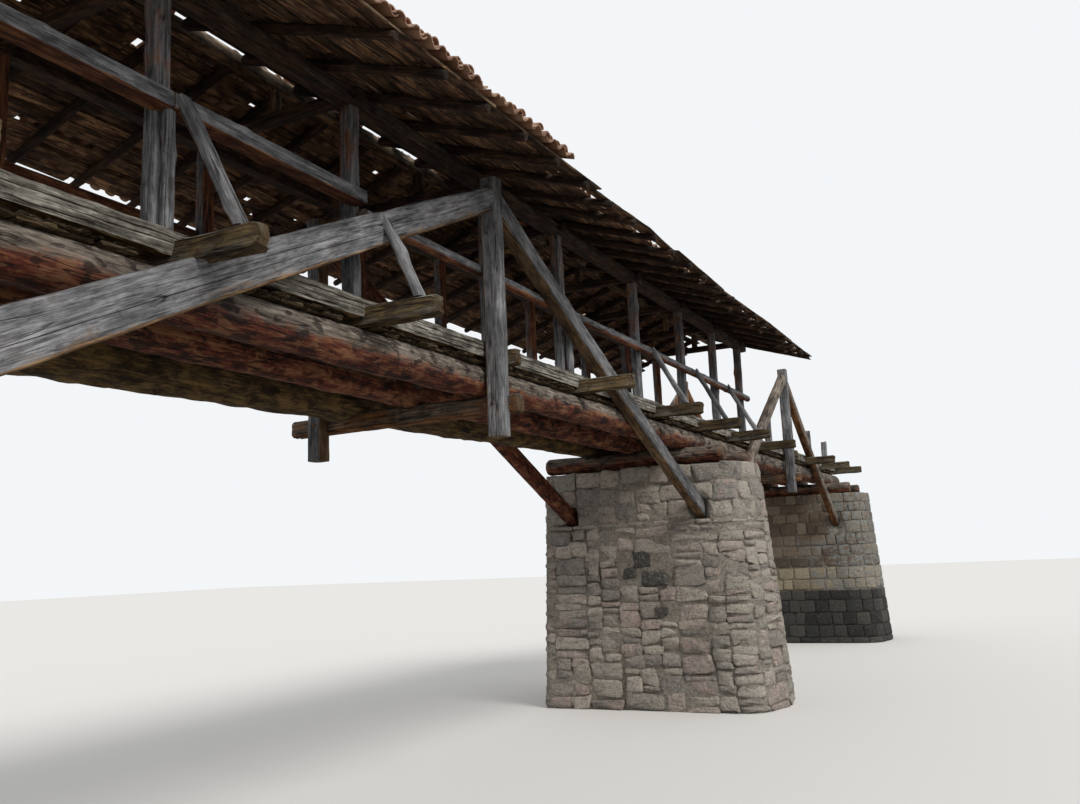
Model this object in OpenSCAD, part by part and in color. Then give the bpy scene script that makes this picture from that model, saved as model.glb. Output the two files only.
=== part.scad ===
// Covered timber bridge on stone piers: a long span and a short span.
// X runs along the bridge, Y across it and Z up from the foot of the piers.

/* [Spans] */
// Clear span between the west pier and the middle pier
long_span = 15200; // [14600:100:15600]
// Clear span between the middle pier and the east pier
short_span = 11400; // [11100:100:11800]
// Distance between the middle planes of the two trusses
truss_gap = 2700; // [2660:10:2800]

/* [Piers] */
// Height of a pier
pier_h = 4540; // [4300:20:4900]
// Thickness of a pier at its top, along the bridge
pier_t = 2200; // [2150:10:2400]
// How far the rounded near end stands out past the truss, at the top
pier_near = 780; // [740:10:900]
// How far the square far end stands out past the truss, at the top
pier_far = 500; // [460:10:700]
// Radius of the near corners
pier_corner = 600; // [500:20:700]
// How far the near end bulges out between its corners
pier_bulge = 120; // [60:10:180]
// How much each long face leans in, foot to top
pier_lean = 140; // [80:10:200]
// How much the near end leans in, foot to top
pier_nose_lean = 330; // [200:10:400]
// How far a strut foot goes into its pocket in the pier
pocket_depth = 260; // [220:10:320]
// Room around a strut in its pocket
pocket_gap = 20; // [10:1:40]

/* [Logs] */
// Diameter of the logs that lie across a pier
sole_d = 350; // [320:5:380]
// How much is hewn off the top and the foot of a pier's cross log
sole_flat = 15; // [10:1:25]
// How far a pier's cross logs lie in from the faces of the pier
sole_inset = 240; // [220:10:300]
// Length of a pier's cross log past each truss
sole_reach = 500; // [400:10:520]
// Number of main logs in a span
log_count = 3; // [3:1:4]
// Thick end of a main log
log_butt = 430; // [420:2:440]
// Thin end of a main log
log_tip = 390; // [384:2:400]
// Thick end of the far log of the long span
far_butt = 660; // [600:10:700]
// Thin end of the far log of the long span
far_tip = 380; // [376:2:400]
// Height of a main log between its hewn seat and its hewn top
log_h = 350; // [340:1:355]
// How much is hewn off the top of a main log
log_hew = 20; // [12:1:25]
// How deep a main log is hewn where it lies on a needle beam
needle_flat = 10; // [6:1:20]
// Length of that hewn seat past the needle beam, on each side
needle_room = 30; // [10:5:60]
// Distance from the truss to the middle of the outer log
log_inset = 335; // [328:1:350]
// Gap between the ends of the logs of the two spans
log_end_gap = 60; // [20:5:120]
// How far the logs stop short of the outer face of the end piers
log_short = 60; // [20:5:120]

/* [Trusses] */
// Width of a king post along the bridge
king_w = 210; // [200:2:230]
// How far a king post stands out of the truss plane
king_out = 130; // [110:2:140]
// How far a king post stands in from the truss plane
king_in = 100; // [90:2:102]
// How far the king posts stop under the wall plates
king_under = 60; // [20:5:120]
// Length of a near king post under the needle beam
king_foot = 280; // [200:10:320]
// Length of a far king post under the needle beam
far_king_foot = 350; // [260:10:400]
// Depth at which the struts meet a king post, below its top
strut_under = 300; // [280:5:330]
// Depth of the struts on the left of the long span, at their feet
strut_big = 450; // [430:5:460]
// Depth of the same struts at their heads
strut_big_head = 290; // [270:5:300]
// Depth of the other struts
strut_small = 270; // [240:5:290]
// Thickness of a strut
strut_t = 210; // [180:5:215]
// How deep the strut heads are let into the king post
strut_let = 35; // [25:1:45]
// Depth of the strut feet below the pier top
strut_drop = 890; // [840:10:920]
// Depth of a pocket's floor below the middle of its strut
pocket_floor = 200; // [190:5:230]
// Height of a needle beam
needle_h = 240; // [220:5:260]
// Width of a needle beam
needle_w = 200; // [180:5:220]
// How deep a needle beam is let into the side of the king posts
needle_let = 60; // [40:2:70]
// Length of a needle beam past the near truss
needle_reach = 250; // [200:10:320]
// Length of a needle beam past the far truss
far_needle_reach = 520; // [400:10:560]
// Diameter of the pegs that hold the needle beams
peg_d = 36; // [30:1:40]
// How far a peg stands out on each side
peg_out = 30; // [15:5:50]
// Clearance round a peg
peg_room = 0.3; // [0.2:0.1:0.6]

/* [Deck] */
// Height of the timbers that lie across the logs
cross_h = 220; // [180:5:240]
// Width of the timbers that lie across the logs
cross_w = 200; // [160:5:210]
// Length of a cross timber past each truss
cross_reach = 700; // [650:10:740]
// Length past each truss of a cross timber that lies beside a king post
cross_stub = 160; // [120:10:220]
// Thickness of the deck boards, which lie across the logs
board_t = 70; // [60:1:80]
// Width of a deck board
board_w = 350; // [300:10:400]
// Gap between the deck boards and what they lie beside
board_gap = 15; // [5:1:25]
// How far the deck boards stop short of the outer face of the edge timbers
board_in = 25; // [10:5:40]
// Length of the edge timbers past the first post and past the last cross timber
sill_past = 300; // [200:10:400]
// Width of the timber along each edge of the deck
sill_w = 320; // [310:5:330]
// Height of the timber along each edge of the deck
sill_h = 220; // [190:5:240]

/* [Side walls] */
// Thickness of a post
post_t = 160; // [140:5:170]
// Distance from the truss to the outer face of the posts
post_inset = 250; // [248:1:256]
// Clear height of the posts
post_h = 2110; // [2080:10:2160]
// Diameter of the handrail poles
rail_d = 140; // [120:2:142]
// Height of the handrail poles above the edge timber
rail_up = 900; // [860:10:950]
// Gap between the ends of two handrail pieces
rail_gap = 10; // [4:1:20]
// Height of the squared handrail at the left end
hand_h = 150; // [130:5:170]
// Width of the squared handrail
hand_w = 200; // [180:5:210]
// Height of the squared handrail above the edge timber
hand_up = 1075; // [1030:5:1110]
// Diameter of the short props under the handrail
prop_d = 110; // [90:2:124]
// Thickness of a raking brace
brace_t = 80; // [70:2:90]
// Width of a raking brace
brace_w = 140; // [110:2:150]
// Lean of a raking brace that stands against the handrail, in degrees
brace_lean = 28; // [26:0.5:30]
// Lean of a raking brace that stands against a strut, in degrees
strut_brace_lean = 25; // [23:0.5:27]
// Height of the middle of that brace's head above the edge timber
strut_brace_up = 750; // [700:10:780]
// Height of the lowest post that is left of the parapet
parapet_low = 760; // [700:10:820]
// Step in height between the parapet posts
parapet_step = 110; // [60:10:140]
// Clearance where a brace stands against a pole or a strut
touch = 0.3; // [0.2:0.1:0.8]

/* [Roof] */
// Height of a wall plate
plate_h = 180; // [160:5:200]
// Width of a wall plate
plate_w = 200; // [180:5:220]
// Height of a tie beam
tie_h = 130; // [110:5:150]
// Width of a tie beam
tie_w = 140; // [120:5:160]
// Pitch of the roof in degrees
pitch = 19; // [18:0.5:20]
// Overhang of the roof past the truss
eave = 1200; // [1100:10:1280]
// Height of a rafter
rafter_h = 120; // [100:5:130]
// Width of a rafter
rafter_w = 100; // [80:5:120]
// Distance between rafters
rafter_gap = 800; // [760:10:860]
// How deep the rafters are notched over the middle of the plate
rafter_notch = 12; // [8:1:20]
// Width of the ridge beam
ridge_w = 120; // [100:5:130]
// Height of the ridge beam
ridge_h = 170; // [150:5:180]
// Thickness of the roof boards
roof_board_t = 26; // [20:1:30]
// Number of board courses on a slope
board_courses = 10; // [9:1:11]
// Gap between board courses on the near slope
near_slit = 12; // [5:1:20]
// Gap between the laths on the far slope
far_slit = 95; // [80:5:110]
// Thickness of the tile layer
tile_t = 75; // [65:1:80]
// Radius of the ridge tiles
ridge_tile_r = 150; // [140:2:170]
// How deep the middle of the ridge tiles lies under the meeting of the two tile layers
ridge_tile_sink = 60; // [40:2:70]
// Where the roof breaks off, past the king post of the long span
roof_end = 13700; // [13500:50:13900]
// Length of the wall plates past the first post
plate_start = 200; // [150:10:250]
// Length of the wall plates past the last post
plate_end = 500; // [450:10:600]
// Length of the tie beams past the wall plates
tie_past = 60; // [30:5:90]
// Place of the first rafter from the end of the wall plates
rafter_first = 120; // [80:10:160]
// Length of roof at the broken end that has no rafter
rafter_stop = 300; // [200:10:400]
// Length of the ridge beam past the wall plates
ridge_past = 100; // [60:10:140]
// Length of boards past the wall plates
board_past = 60; // [40:5:80]
// How ragged the roof's broken end is
ragged_out = 420; // [300:10:480]
// How uneven the boards are at the roof's sound end
ragged_in = 80; // [40:5:100]
// Gap between the uppermost board and the ridge
ridge_slit = 12; // [6:1:20]
// Distance of the uppermost tiles from the ridge
tile_down = 60; // [40:5:80]
// Length of the tiles past the ends of the rafters
tile_over = 40; // [20:5:60]
// Width of the strip of tiles along the near eave
eave_strip = 600; // [500:10:700]
// How far that strip stops short of the king post
strip_short = 200; // [0:10:400]
// Length of bare boards at the broken end of the near slope
near_bare = 900; // [800:10:1100]
// Length of bare boards at the broken end of the far slope
far_bare = 700; // [600:10:900]
// Length of the broken end without ridge tiles
ridge_bare = 1000; // [800:10:1200]

/* [Hidden] */
$fn = 48;
far = 20000;

// Places along the bridge, from the middle of the whole
total = 3 * pier_t + long_span + short_span;
x_west = -total / 2;
x_mid = x_west + pier_t + long_span;
x_east = x_mid + pier_t + short_span;
king_1 = x_west + pier_t + long_span / 2;
king_2 = x_mid + pier_t + short_span / 2;
y_truss = truss_gap / 2;

// Heights
sole_h = sole_d - 2 * sole_flat;
z_log = pier_h + sole_h;
z_cross = z_log + log_h;
z_cross_top = z_cross + cross_h;
z_sill = z_cross + board_t;
z_floor = z_sill + sill_h;
z_plate = z_floor + post_h;
z_plate_top = z_plate + plate_h;
z_king_top = z_plate - king_under;
z_strut_head = z_king_top - strut_under;
y_post = y_truss - post_inset - post_t / 2;
ridge_under = z_plate_top - rafter_notch + y_post * tan(pitch);
slope_len = (y_truss + eave) / cos(pitch);

// Inner and outer faces of what lies just inside the struts
y_inside = y_truss - max(strut_t / 2, king_in) - touch;

// Places from the king post of the long span: posts, cross timbers and the posts of the open part
post_x = [-9300, -7200, -4900, -2370, 450, 2560, 5650, 8100, 10350, 12400];
cross_x = [-9000, -6950, -4800, -2350, 300, 2750, 6000, 8420, 10680, 13150, 15850, 18150, 20500, 22700];
parapet_x = [14900, 17400, 19800, 22300];

// A shape made for the far side, on either side
module side(s) {
    if (s > 0)
        children();
    else
        mirror([0, 1, 0])
            children();
}

// A box given by its middle along the bridge, its lowest place and its size
module block(x, y, z, w, d, h) {
    translate([x - w / 2, y, z])
        cube([w, d, h]);
}

// Plan of a pier at a height from 0 at the top to 1 at the foot
module pier_plan(low) {
    lean = pier_lean * low;
    nose = pier_nose_lean * low;
    y_near = -y_truss - pier_near - nose;
    y_far = y_truss + pier_far + lean;
    hull() {
        translate([-lean, y_far - pier_corner])
            square([pier_t + 2 * lean, pier_corner]);
        translate([pier_corner - lean, y_near + pier_corner])
            circle(pier_corner);
        translate([pier_t - pier_corner + lean, y_near + pier_corner])
            circle(pier_corner);
        translate([pier_t / 2, y_near + pier_corner * 2 - pier_bulge])
            circle(pier_corner * 2);
    }
}

module pier(x) {
    translate([x, 0, 0])
        hull() {
            linear_extrude(1)
                pier_plan(1);
            translate([0, 0, pier_h - 1])
                linear_extrude(1)
                    pier_plan(0);
        }
}

// Run and rise of a strut, from its foot in the pier to its head on the king post
function strut_run(span) = span / 2 + pocket_depth / 2 - king_w / 2;
strut_foot_z = pier_h - strut_drop;
strut_rise = z_strut_head - strut_foot_z;
function strut_angle(span) = atan(strut_rise / strut_run(span));

// Depths of a strut: only those on the left of the long span are big
function big(span, dir) = span == long_span && dir < 0;
function head_depth(span, dir) = big(span, dir) ? strut_big_head : strut_small;
function foot_depth(span, dir) = big(span, dir) ? strut_big : strut_small;

// Side view of a strut: it runs on past both ends, and room is what is left above it
module strut_side(span, dir, room) {
    length = strut_run(span) / cos(strut_angle(span));
    grow = (foot_depth(span, dir) - head_depth(span, dir)) / length;
    past = 2 * pocket_depth;
    head = (head_depth(span, dir) - grow * past) / 2;
    foot = (foot_depth(span, dir) + grow * past) / 2;
    polygon([[-past, -head], [-past, head + room], [length + past, foot + room], [length + past, -foot]]);
}

// That side view, set up on the truss as a timber of thickness t
module strut_timber(x_king, span, dir, t, room) {
    translate([x_king, y_truss, z_strut_head])
        mirror([dir < 0 ? 1 : 0, 0, 0])
            translate([king_w / 2, t / 2, 0])
                rotate([0, strut_angle(span), 0])
                    rotate([90, 0, 0])
                        linear_extrude(t)
                            strut_side(span, dir, room);
}

// One strut on the side dir of a king post, cut to its seat there and to its pocket
module strut(x_king, span, dir) {
    near_x = king_w / 2 - strut_let;
    far_x = span / 2 + pocket_depth - pocket_gap;
    intersection() {
        strut_timber(x_king, span, dir, strut_t, 0);
        translate([x_king + (dir > 0 ? near_x : -far_x), 0, strut_foot_z - pocket_floor])
            cube([far_x - near_x, far, far]);
    }
}

// The pocket of a strut, cut into a pier
module pocket(x_king, span, dir) {
    intersection() {
        strut_timber(x_king, span, dir, strut_t + 2 * pocket_gap, pocket_gap);
        translate([x_king + (dir > 0 ? 0 : -span / 2 - pocket_depth), 0, strut_foot_z - pocket_floor])
            cube([span / 2 + pocket_depth, far, far]);
    }
}

module west_pier() {
    color("#a08d7e")
        difference() {
            pier(x_west);
            for (s = [-1, 1])
                side(s)
                    pocket(king_1, long_span, -1);
        }
}

module middle_pier() {
    color("#a08d7e")
        difference() {
            pier(x_mid);
            for (s = [-1, 1])
                side(s) {
                    pocket(king_1, long_span, 1);
                    pocket(king_2, short_span, -1);
                }
        }
}

module east_pier() {
    color("#8d8271")
        difference() {
            pier(x_east);
            for (s = [-1, 1])
                side(s)
                    pocket(king_2, short_span, 1);
        }
}

// A log across a pier, hewn flat on its top and its foot
module sole_log(x) {
    intersection() {
        translate([x, -y_truss - sole_reach, pier_h + sole_d / 2 - sole_flat])
            rotate([-90, 0, 0])
                cylinder(d = sole_d, h = truss_gap + 2 * sole_reach);
        block(x, -far / 2, pier_h, sole_d, far, sole_h);
    }
}

module cross_logs(x) {
    color("#6b3a26") {
        sole_log(x + sole_inset);
        sole_log(x + pier_t - sole_inset);
    }
}

module west_cross_logs() {
    cross_logs(x_west);
}

module middle_cross_logs() {
    cross_logs(x_mid);
}

module east_cross_logs() {
    cross_logs(x_east);
}

// Middle lines of the near and the far log, each just inside its truss
y_log = y_truss - log_inset;
y_far_log = y_inside - far_butt / 2;

// Logs lie butt to tip in turn
function log_end(i) = i % 2 == 0 ? log_butt : log_tip;

// A tapered log from x0 to x1: its upper side lies level and is hewn flat, and it has seats on the piers
// and on the needle beams
module main_log(x0, x1, y, d0, d1) {
    slope = atan((d1 - d0) / 2 / (x1 - x0));
    seat = pier_t - 2 * sole_inset + sole_d + 2 * needle_room;
    difference() {
        translate([x0, y, z_cross + log_hew - d0 / 2])
            rotate([0, 90 + slope, 0])
                cylinder(d1 = d0, d2 = d1, h = (x1 - x0) / cos(slope));
        translate([x0 - far / 2, y - far / 2, z_cross])
            cube([2 * far, far, far]);
        for (x_pier = [x_west, x_mid, x_east])
            block(x_pier + pier_t / 2, y - far / 2, z_log - far, seat, far, far);
        for (x_king = [king_1, king_2])
            translate([needle_x(x_king) - needle_room, y - far / 2, z_needle + needle_h - far])
                cube([needle_w + 2 * needle_room, far, far]);
    }
}

module long_span_logs() {
    x0 = x_west + log_short;
    x1 = x_mid + (pier_t - log_end_gap) / 2;
    step = (y_log + y_far_log) / (log_count - 1);
    color("#6b3a26") {
        for (i = [0:log_count - 2])
            main_log(x0, x1, i * step - y_log, log_end(i), log_end(i + 1));
        main_log(x0, x1, y_far_log, far_butt, far_tip);
    }
}

module short_span_logs() {
    x0 = x_mid + (pier_t + log_end_gap) / 2;
    x1 = x_east + pier_t - log_short;
    step = 2 * y_log / (log_count - 1);
    color("#6b3a26")
        for (i = [0:log_count - 1])
            main_log(x0, x1, i * step - y_log, log_end(i + 1), log_end(i));
}

// Needle beam: it hangs on the king posts and carries the logs
z_needle = z_cross + log_hew - (log_butt + log_tip) / 2 + needle_flat - needle_h;

function needle_x(x_king) = x_king + king_w / 2 - needle_let;

module needle_beam(x_king) {
    color("#8a6a3a")
        difference() {
            translate([needle_x(x_king), -y_truss - needle_reach, z_needle])
                cube([needle_w, truss_gap + needle_reach + far_needle_reach, needle_h]);
            for (s = [-1, 1])
                translate([x_king - far / 2, s * y_truss, z_needle + needle_h / 2])
                    rotate([0, 90, 0])
                        cylinder(d = peg_d, h = far);
        }
}

module needle_beam_long() {
    needle_beam(king_1);
}

module needle_beam_short() {
    needle_beam(king_2);
}

// King post with seats for two struts, a side notch for the needle beam and a peg hole
module king_post(x_king, span, s) {
    z_foot = z_needle - (s < 0 ? king_foot : far_king_foot);
    color("#8a8a86")
        side(s)
            difference() {
                block(x_king, y_truss - king_in, z_foot, king_w, king_in + king_out, z_king_top - z_foot);
                strut(x_king, span, -1);
                strut(x_king, span, 1);
                translate([needle_x(x_king), 0, z_needle])
                    cube([needle_w, far, needle_h]);
                translate([x_king - far / 2, y_truss, z_needle + needle_h / 2])
                    rotate([0, 90, 0])
                        cylinder(d = peg_d, h = far);
            }
}

module near_king_post_long() {
    king_post(king_1, long_span, -1);
}

module far_king_post_long() {
    king_post(king_1, long_span, 1);
}

module near_king_post_short() {
    king_post(king_2, short_span, -1);
}

module far_king_post_short() {
    king_post(king_2, short_span, 1);
}

module king_post_pegs() {
    color("#6b3a26")
        for (x = [king_1, king_2])
            for (s = [-1, 1])
                translate([x - king_w / 2 - peg_out, s * y_truss, z_needle + needle_h / 2])
                    rotate([0, 90, 0])
                        cylinder(d = peg_d - 2 * peg_room, h = king_w + needle_w - needle_let + 2 * peg_out);
}

module near_left_strut() {
    color("#8a8a86")
        side(-1)
            strut(king_1, long_span, -1);
}

module near_right_strut() {
    color("#8a8a86")
        side(-1)
            strut(king_1, long_span, 1);
}

module far_left_strut() {
    color("#8a8a86")
        strut(king_1, long_span, -1);
}

module far_right_strut() {
    color("#6b3a26")
        strut(king_1, long_span, 1);
}

module short_struts() {
    color("#8a6a3a")
        for (dir = [-1, 1])
            strut(king_2, short_span, dir);
}

module near_short_struts() {
    side(-1)
        short_struts();
}

module far_short_struts() {
    short_struts();
}

// Length of a cross timber past each truss: shorter beside a king post
function cross_out(i) = i == 4 || i == 10 ? cross_stub : cross_reach;

module cross_timber(i) {
    y_end = y_truss + cross_out(i);
    block(king_1 + cross_x[i], -y_end, z_cross, cross_w, 2 * y_end, cross_h);
}

// The cross timbers are notched where a strut passes them
module cross_timbers() {
    color("#8a8a86")
        difference() {
            for (i = [0:len(cross_x) - 1])
                cross_timber(i);
            for (s = [-1, 1])
                side(s)
                    for (dir = [-1, 1]) {
                        strut(king_1, long_span, dir);
                        strut(king_2, short_span, dir);
                    }
        }
}

// Ends of the edge timbers
x_sill_0 = king_1 + post_x[0] - sill_past;
x_sill_1 = king_1 + cross_x[len(cross_x) - 1] + sill_past;

// Deck boards lie across the logs, side by side between the cross timbers and out to the ends of the deck
module deck_boards() {
    y_edge = y_inside - board_in;
    x_left = concat([x_sill_0], [for (x = cross_x) king_1 + x + cross_w / 2]);
    x_right = concat([for (x = cross_x) king_1 + x - cross_w / 2], [x_sill_1]);
    color("#8a6a3a")
        for (i = [0:len(x_left) - 1]) {
            x0 = x_left[i] + board_gap;
            x1 = x_right[i];
            n = max(1, round((x1 - x0) / board_w));
            for (k = [0:n - 1])
                translate([x0 + k * (x1 - x0) / n, -y_edge, z_cross])
                    cube([(x1 - x0) / n - board_gap, 2 * y_edge, board_t]);
        }
}

// Edge timbers lie on the ends of the deck boards and are notched over the cross timbers
module sill() {
    color("#7c7f86")
        difference() {
            translate([x_sill_0, y_inside - sill_w, z_sill])
                cube([x_sill_1 - x_sill_0, sill_w, sill_h]);
            for (i = [0:len(cross_x) - 1])
                cross_timber(i);
        }
}

module near_sill() {
    side(-1)
        sill();
}

module far_sill() {
    sill();
}

// Height of a short prop that stands beside a post and carries the handrail
function prop_h(i) = (i < squared_posts ? hand_up - hand_h / 2 : rail_up - rail_d / 2) - touch;

// Posts, with seats for the squared handrail that is let into the first of them
module posts() {
    color("#7c7f86") {
        difference() {
            for (x = post_x)
                block(king_1 + x, y_post - post_t / 2, z_floor, post_t, post_t, post_h);
            hand_beams(touch);
        }
        for (i = prop_posts)
            translate([king_1 + post_x[i], y_rail, z_floor])
                cylinder(d = prop_d, h = prop_h(i));
    }
}

module near_posts() {
    side(-1)
        posts();
}

module far_posts() {
    posts();
}

// Short posts that are left of the parapet on the open part
module parapet_posts() {
    color("#7c7f86")
        for (s = [-1, 1])
            side(s)
                for (i = [0:len(parapet_x) - 1])
                    block(king_1 + parapet_x[i], y_post - post_t / 2, z_floor,
                        post_t, post_t, parapet_low + parapet_step * ((i * 2 + s + 1) % 3));
}

// Handrail: two squared pieces let into the first posts, then poles along the outside of the posts
hand_cuts = [-9400, post_x[2], post_x[3]];
pole_cuts = [post_x[3], 2560, 8100, 12500];
squared_posts = 4;
prop_posts = [2, 5];
y_rail = y_truss - post_inset + rail_d / 2 + touch;

module hand_beams(room) {
    for (i = [0:len(hand_cuts) - 2]) {
        length = hand_cuts[i + 1] - hand_cuts[i] - (room > 0 ? 0 : rail_gap);
        x = king_1 + hand_cuts[i] + rail_gap / 2;
        translate([x, y_inside - hand_w - room, z_floor + hand_up - hand_h / 2])
            cube([length, hand_w + room, hand_h]);
    }
}

module rails() {
    color("#7c7f86") {
        hand_beams(0);
        for (i = [0:len(pole_cuts) - 2])
            translate([king_1 + pole_cuts[i] + rail_gap / 2, y_rail, z_floor + rail_up])
                rotate([0, 90, 0])
                    cylinder(d = rail_d, h = pole_cuts[i + 1] - pole_cuts[i] - rail_gap);
    }
}

module near_rails() {
    side(-1)
        rails();
}

module far_rails() {
    rails();
}

// Raking braces from the handrail, or from a strut, down to the cross timbers
hand_braces = [0, 1, 2];
pole_braces = [6, 7, 8];
strut_braces = [3];

// A brace with its head cut upright at y, the middle of that cut at z; it stands on a cross timber
module brace(i, y, z, lean) {
    x = king_1 + cross_x[i];
    difference() {
        translate([x, y, z])
            rotate([lean, 0, 0])
                translate([-brace_w / 2, -brace_t / 2, -far / 8])
                    cube([brace_w, brace_t, far / 4]);
        block(x, y - far, z - far / 2, far, far, far);
        block(x, y - far / 2, z_cross_top - far, far, far, far);
    }
}

module braces() {
    color("#8a8a86") {
        for (i = hand_braces)
            brace(i, y_inside + touch, z_floor + hand_up, brace_lean);
        for (i = pole_braces)
            brace(i, y_rail + rail_d / 2 + touch, z_floor + rail_up, brace_lean);
        for (i = strut_braces)
            brace(i, y_truss + strut_t / 2 + touch, z_floor + strut_brace_up, strut_brace_lean);
    }
}

module near_braces() {
    side(-1)
        braces();
}

module far_braces() {
    braces();
}

// Wall plates with notches for the tie beams
plate_x0 = king_1 + post_x[0] - plate_start;
plate_x1 = king_1 + post_x[len(post_x) - 1] + plate_end;

module tie(x) {
    y_end = y_post + plate_w / 2 + tie_past;
    block(x, -y_end, z_plate_top - tie_h, tie_w, 2 * y_end, tie_h);
}

module plate() {
    color("#5a3524")
        difference() {
            translate([plate_x0, y_post - plate_w / 2, z_plate])
                cube([plate_x1 - plate_x0, plate_w, plate_h]);
            for (x = post_x)
                tie(king_1 + x);
        }
}

module near_plate() {
    side(-1)
        plate();
}

module far_plate() {
    plate();
}

module tie_beams() {
    color("#5a3524")
        for (x = post_x)
            tie(king_1 + x);
}

// Everything on a slope: X along the bridge, Y down the slope and Z up from the rafters' underside
module on_slope() {
    translate([0, 0, ridge_under])
        rotate([-pitch, 0, 0])
            children();
}

x_roof_end = king_1 + roof_end;
z_ridge_top = ridge_under + rafter_h / cos(pitch) - ridge_w / 2 * tan(pitch);

module ridge_beam() {
    color("#5a3524")
        translate([plate_x0 - ridge_past, -ridge_w / 2, z_ridge_top - ridge_h])
            cube([x_roof_end - plate_x0 - ridge_past, ridge_w, ridge_h]);
}

module ridge_props() {
    prop = z_ridge_top - ridge_h - z_plate_top;
    color("#5a3524")
        for (x = post_x)
            block(king_1 + x, -ridge_w / 2, z_plate_top, ridge_w, ridge_w, prop);
}

rafter_n = floor((x_roof_end - plate_x0 - rafter_stop) / rafter_gap);

// Rafters lean on the ridge beam and are notched over the wall plate and the tie beams
module rafters() {
    color("#5a3524")
        difference() {
            for (i = [0:rafter_n])
                on_slope()
                    translate([plate_x0 + rafter_first + i * rafter_gap, -ridge_w / 2, 0])
                        cube([rafter_w, slope_len + ridge_w / 2, rafter_h]);
            translate([-far, -far, 0])
                cube([2 * far, far + ridge_w / 2, far]);
            translate([-far, y_post - plate_w / 2, z_plate])
                cube([2 * far, plate_w, plate_h]);
            for (x = post_x)
                tie(king_1 + x);
        }
}

module near_rafters() {
    side(-1)
        rafters();
}

module far_rafters() {
    rafters();
}

// Where a course of the roof stops, so that its broken end is ragged
function ragged(i, k) = ragged_out * (sin(i * 97 + k * 31) + 0.4 * sin(i * 211 + k * 57));

module board_course(i, slit, k) {
    w = slope_len / board_courses;
    x0 = plate_x0 - board_past + ragged_in * sin(i * 83 + k);
    top = i == 0 ? ridge_slit : 0;
    on_slope()
        translate([x0, i * w + top, rafter_h])
            cube([x_roof_end + ragged(i, k) - x0, w - slit - top, roof_board_t]);
}

module near_roof_boards() {
    color("#6a5546")
        side(-1)
            for (i = [0:board_courses - 1])
                board_course(i, near_slit, 0);
}

module far_roof_laths() {
    color("#6a5546")
        for (i = [0:board_courses - 1])
            board_course(i, far_slit, 2);
}

// Tile layer; on the near slope the lowest courses are gone east of the king post
module tile_layer(s0, s1, x0, x1) {
    on_slope()
        translate([x0, s0, rafter_h + roof_board_t])
            cube([x1 - x0, s1 - s0, tile_t]);
}

module near_tiles() {
    s_end = slope_len + tile_over;
    color("#9a7561")
        side(-1) {
            tile_layer(tile_down, s_end - eave_strip, plate_x0 - board_past, x_roof_end - near_bare);
            tile_layer(s_end - eave_strip, s_end, plate_x0 - board_past, king_1 - strip_short);
        }
}

module far_tiles() {
    color("#9a7561")
        tile_layer(tile_down, slope_len + tile_over, plate_x0 - board_past, x_roof_end - far_bare);
}

// Ridge tiles lie on the tile layers of both slopes
module ridge_tiles() {
    top = rafter_h + roof_board_t + tile_t;
    color("#9a7561")
        difference() {
            translate([plate_x0 - board_past, 0, ridge_under + top / cos(pitch) - ridge_tile_sink])
                rotate([0, 90, 0])
                    cylinder(r = ridge_tile_r, h = x_roof_end - plate_x0 - ridge_bare);
            for (s = [-1, 1])
                side(s)
                    intersection() {
                        on_slope()
                            translate([-far, -far / 2, top + touch - far])
                                cube([2 * far, far, far]);
                        translate([-far, 0, 0])
                            cube([2 * far, far, far]);
                    }
        }
}

west_pier();
middle_pier();
east_pier();
west_cross_logs();
middle_cross_logs();
east_cross_logs();
long_span_logs();
short_span_logs();
near_king_post_long();
far_king_post_long();
near_king_post_short();
far_king_post_short();
needle_beam_long();
needle_beam_short();
king_post_pegs();
near_left_strut();
near_right_strut();
far_left_strut();
far_right_strut();
near_short_struts();
far_short_struts();
cross_timbers();
deck_boards();
near_sill();
far_sill();
near_posts();
far_posts();
parapet_posts();
near_rails();
far_rails();
near_braces();
far_braces();
near_plate();
far_plate();
tie_beams();
ridge_beam();
ridge_props();
near_rafters();
far_rafters();
near_roof_boards();
far_roof_laths();
near_tiles();
far_tiles();
ridge_tiles();
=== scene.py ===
import math

import bpy
import numpy as np
from mathutils import Matrix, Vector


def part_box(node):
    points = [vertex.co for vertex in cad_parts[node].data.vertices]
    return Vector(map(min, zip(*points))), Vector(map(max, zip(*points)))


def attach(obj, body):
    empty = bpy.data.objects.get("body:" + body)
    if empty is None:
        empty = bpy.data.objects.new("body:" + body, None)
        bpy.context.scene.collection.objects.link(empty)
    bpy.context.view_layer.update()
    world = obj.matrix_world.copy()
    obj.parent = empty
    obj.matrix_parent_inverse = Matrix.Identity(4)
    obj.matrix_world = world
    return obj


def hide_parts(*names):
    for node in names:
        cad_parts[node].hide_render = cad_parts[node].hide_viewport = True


# Covered timber bridge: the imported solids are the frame, dressed with hewn wood, stones and tiles.
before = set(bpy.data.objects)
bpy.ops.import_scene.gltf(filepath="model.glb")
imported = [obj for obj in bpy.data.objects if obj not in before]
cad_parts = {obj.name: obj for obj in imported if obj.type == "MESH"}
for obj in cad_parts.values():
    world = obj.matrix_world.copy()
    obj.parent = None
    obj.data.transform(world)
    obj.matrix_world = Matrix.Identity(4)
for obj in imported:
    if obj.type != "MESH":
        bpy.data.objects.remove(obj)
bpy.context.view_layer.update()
print("frame loaded", len(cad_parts), "nodes")

# Camera at the photograph's angle; the picture is 1080 x 804
cameraSettings = {
    "place": (-17.006, -7.026, 2.819),
    "turn": 26.538,  # from +X towards +Y, degrees
    "rise": 9.216,  # above the level, degrees
    "roll": -2.44,
    "lens": 32.739,
}


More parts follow.
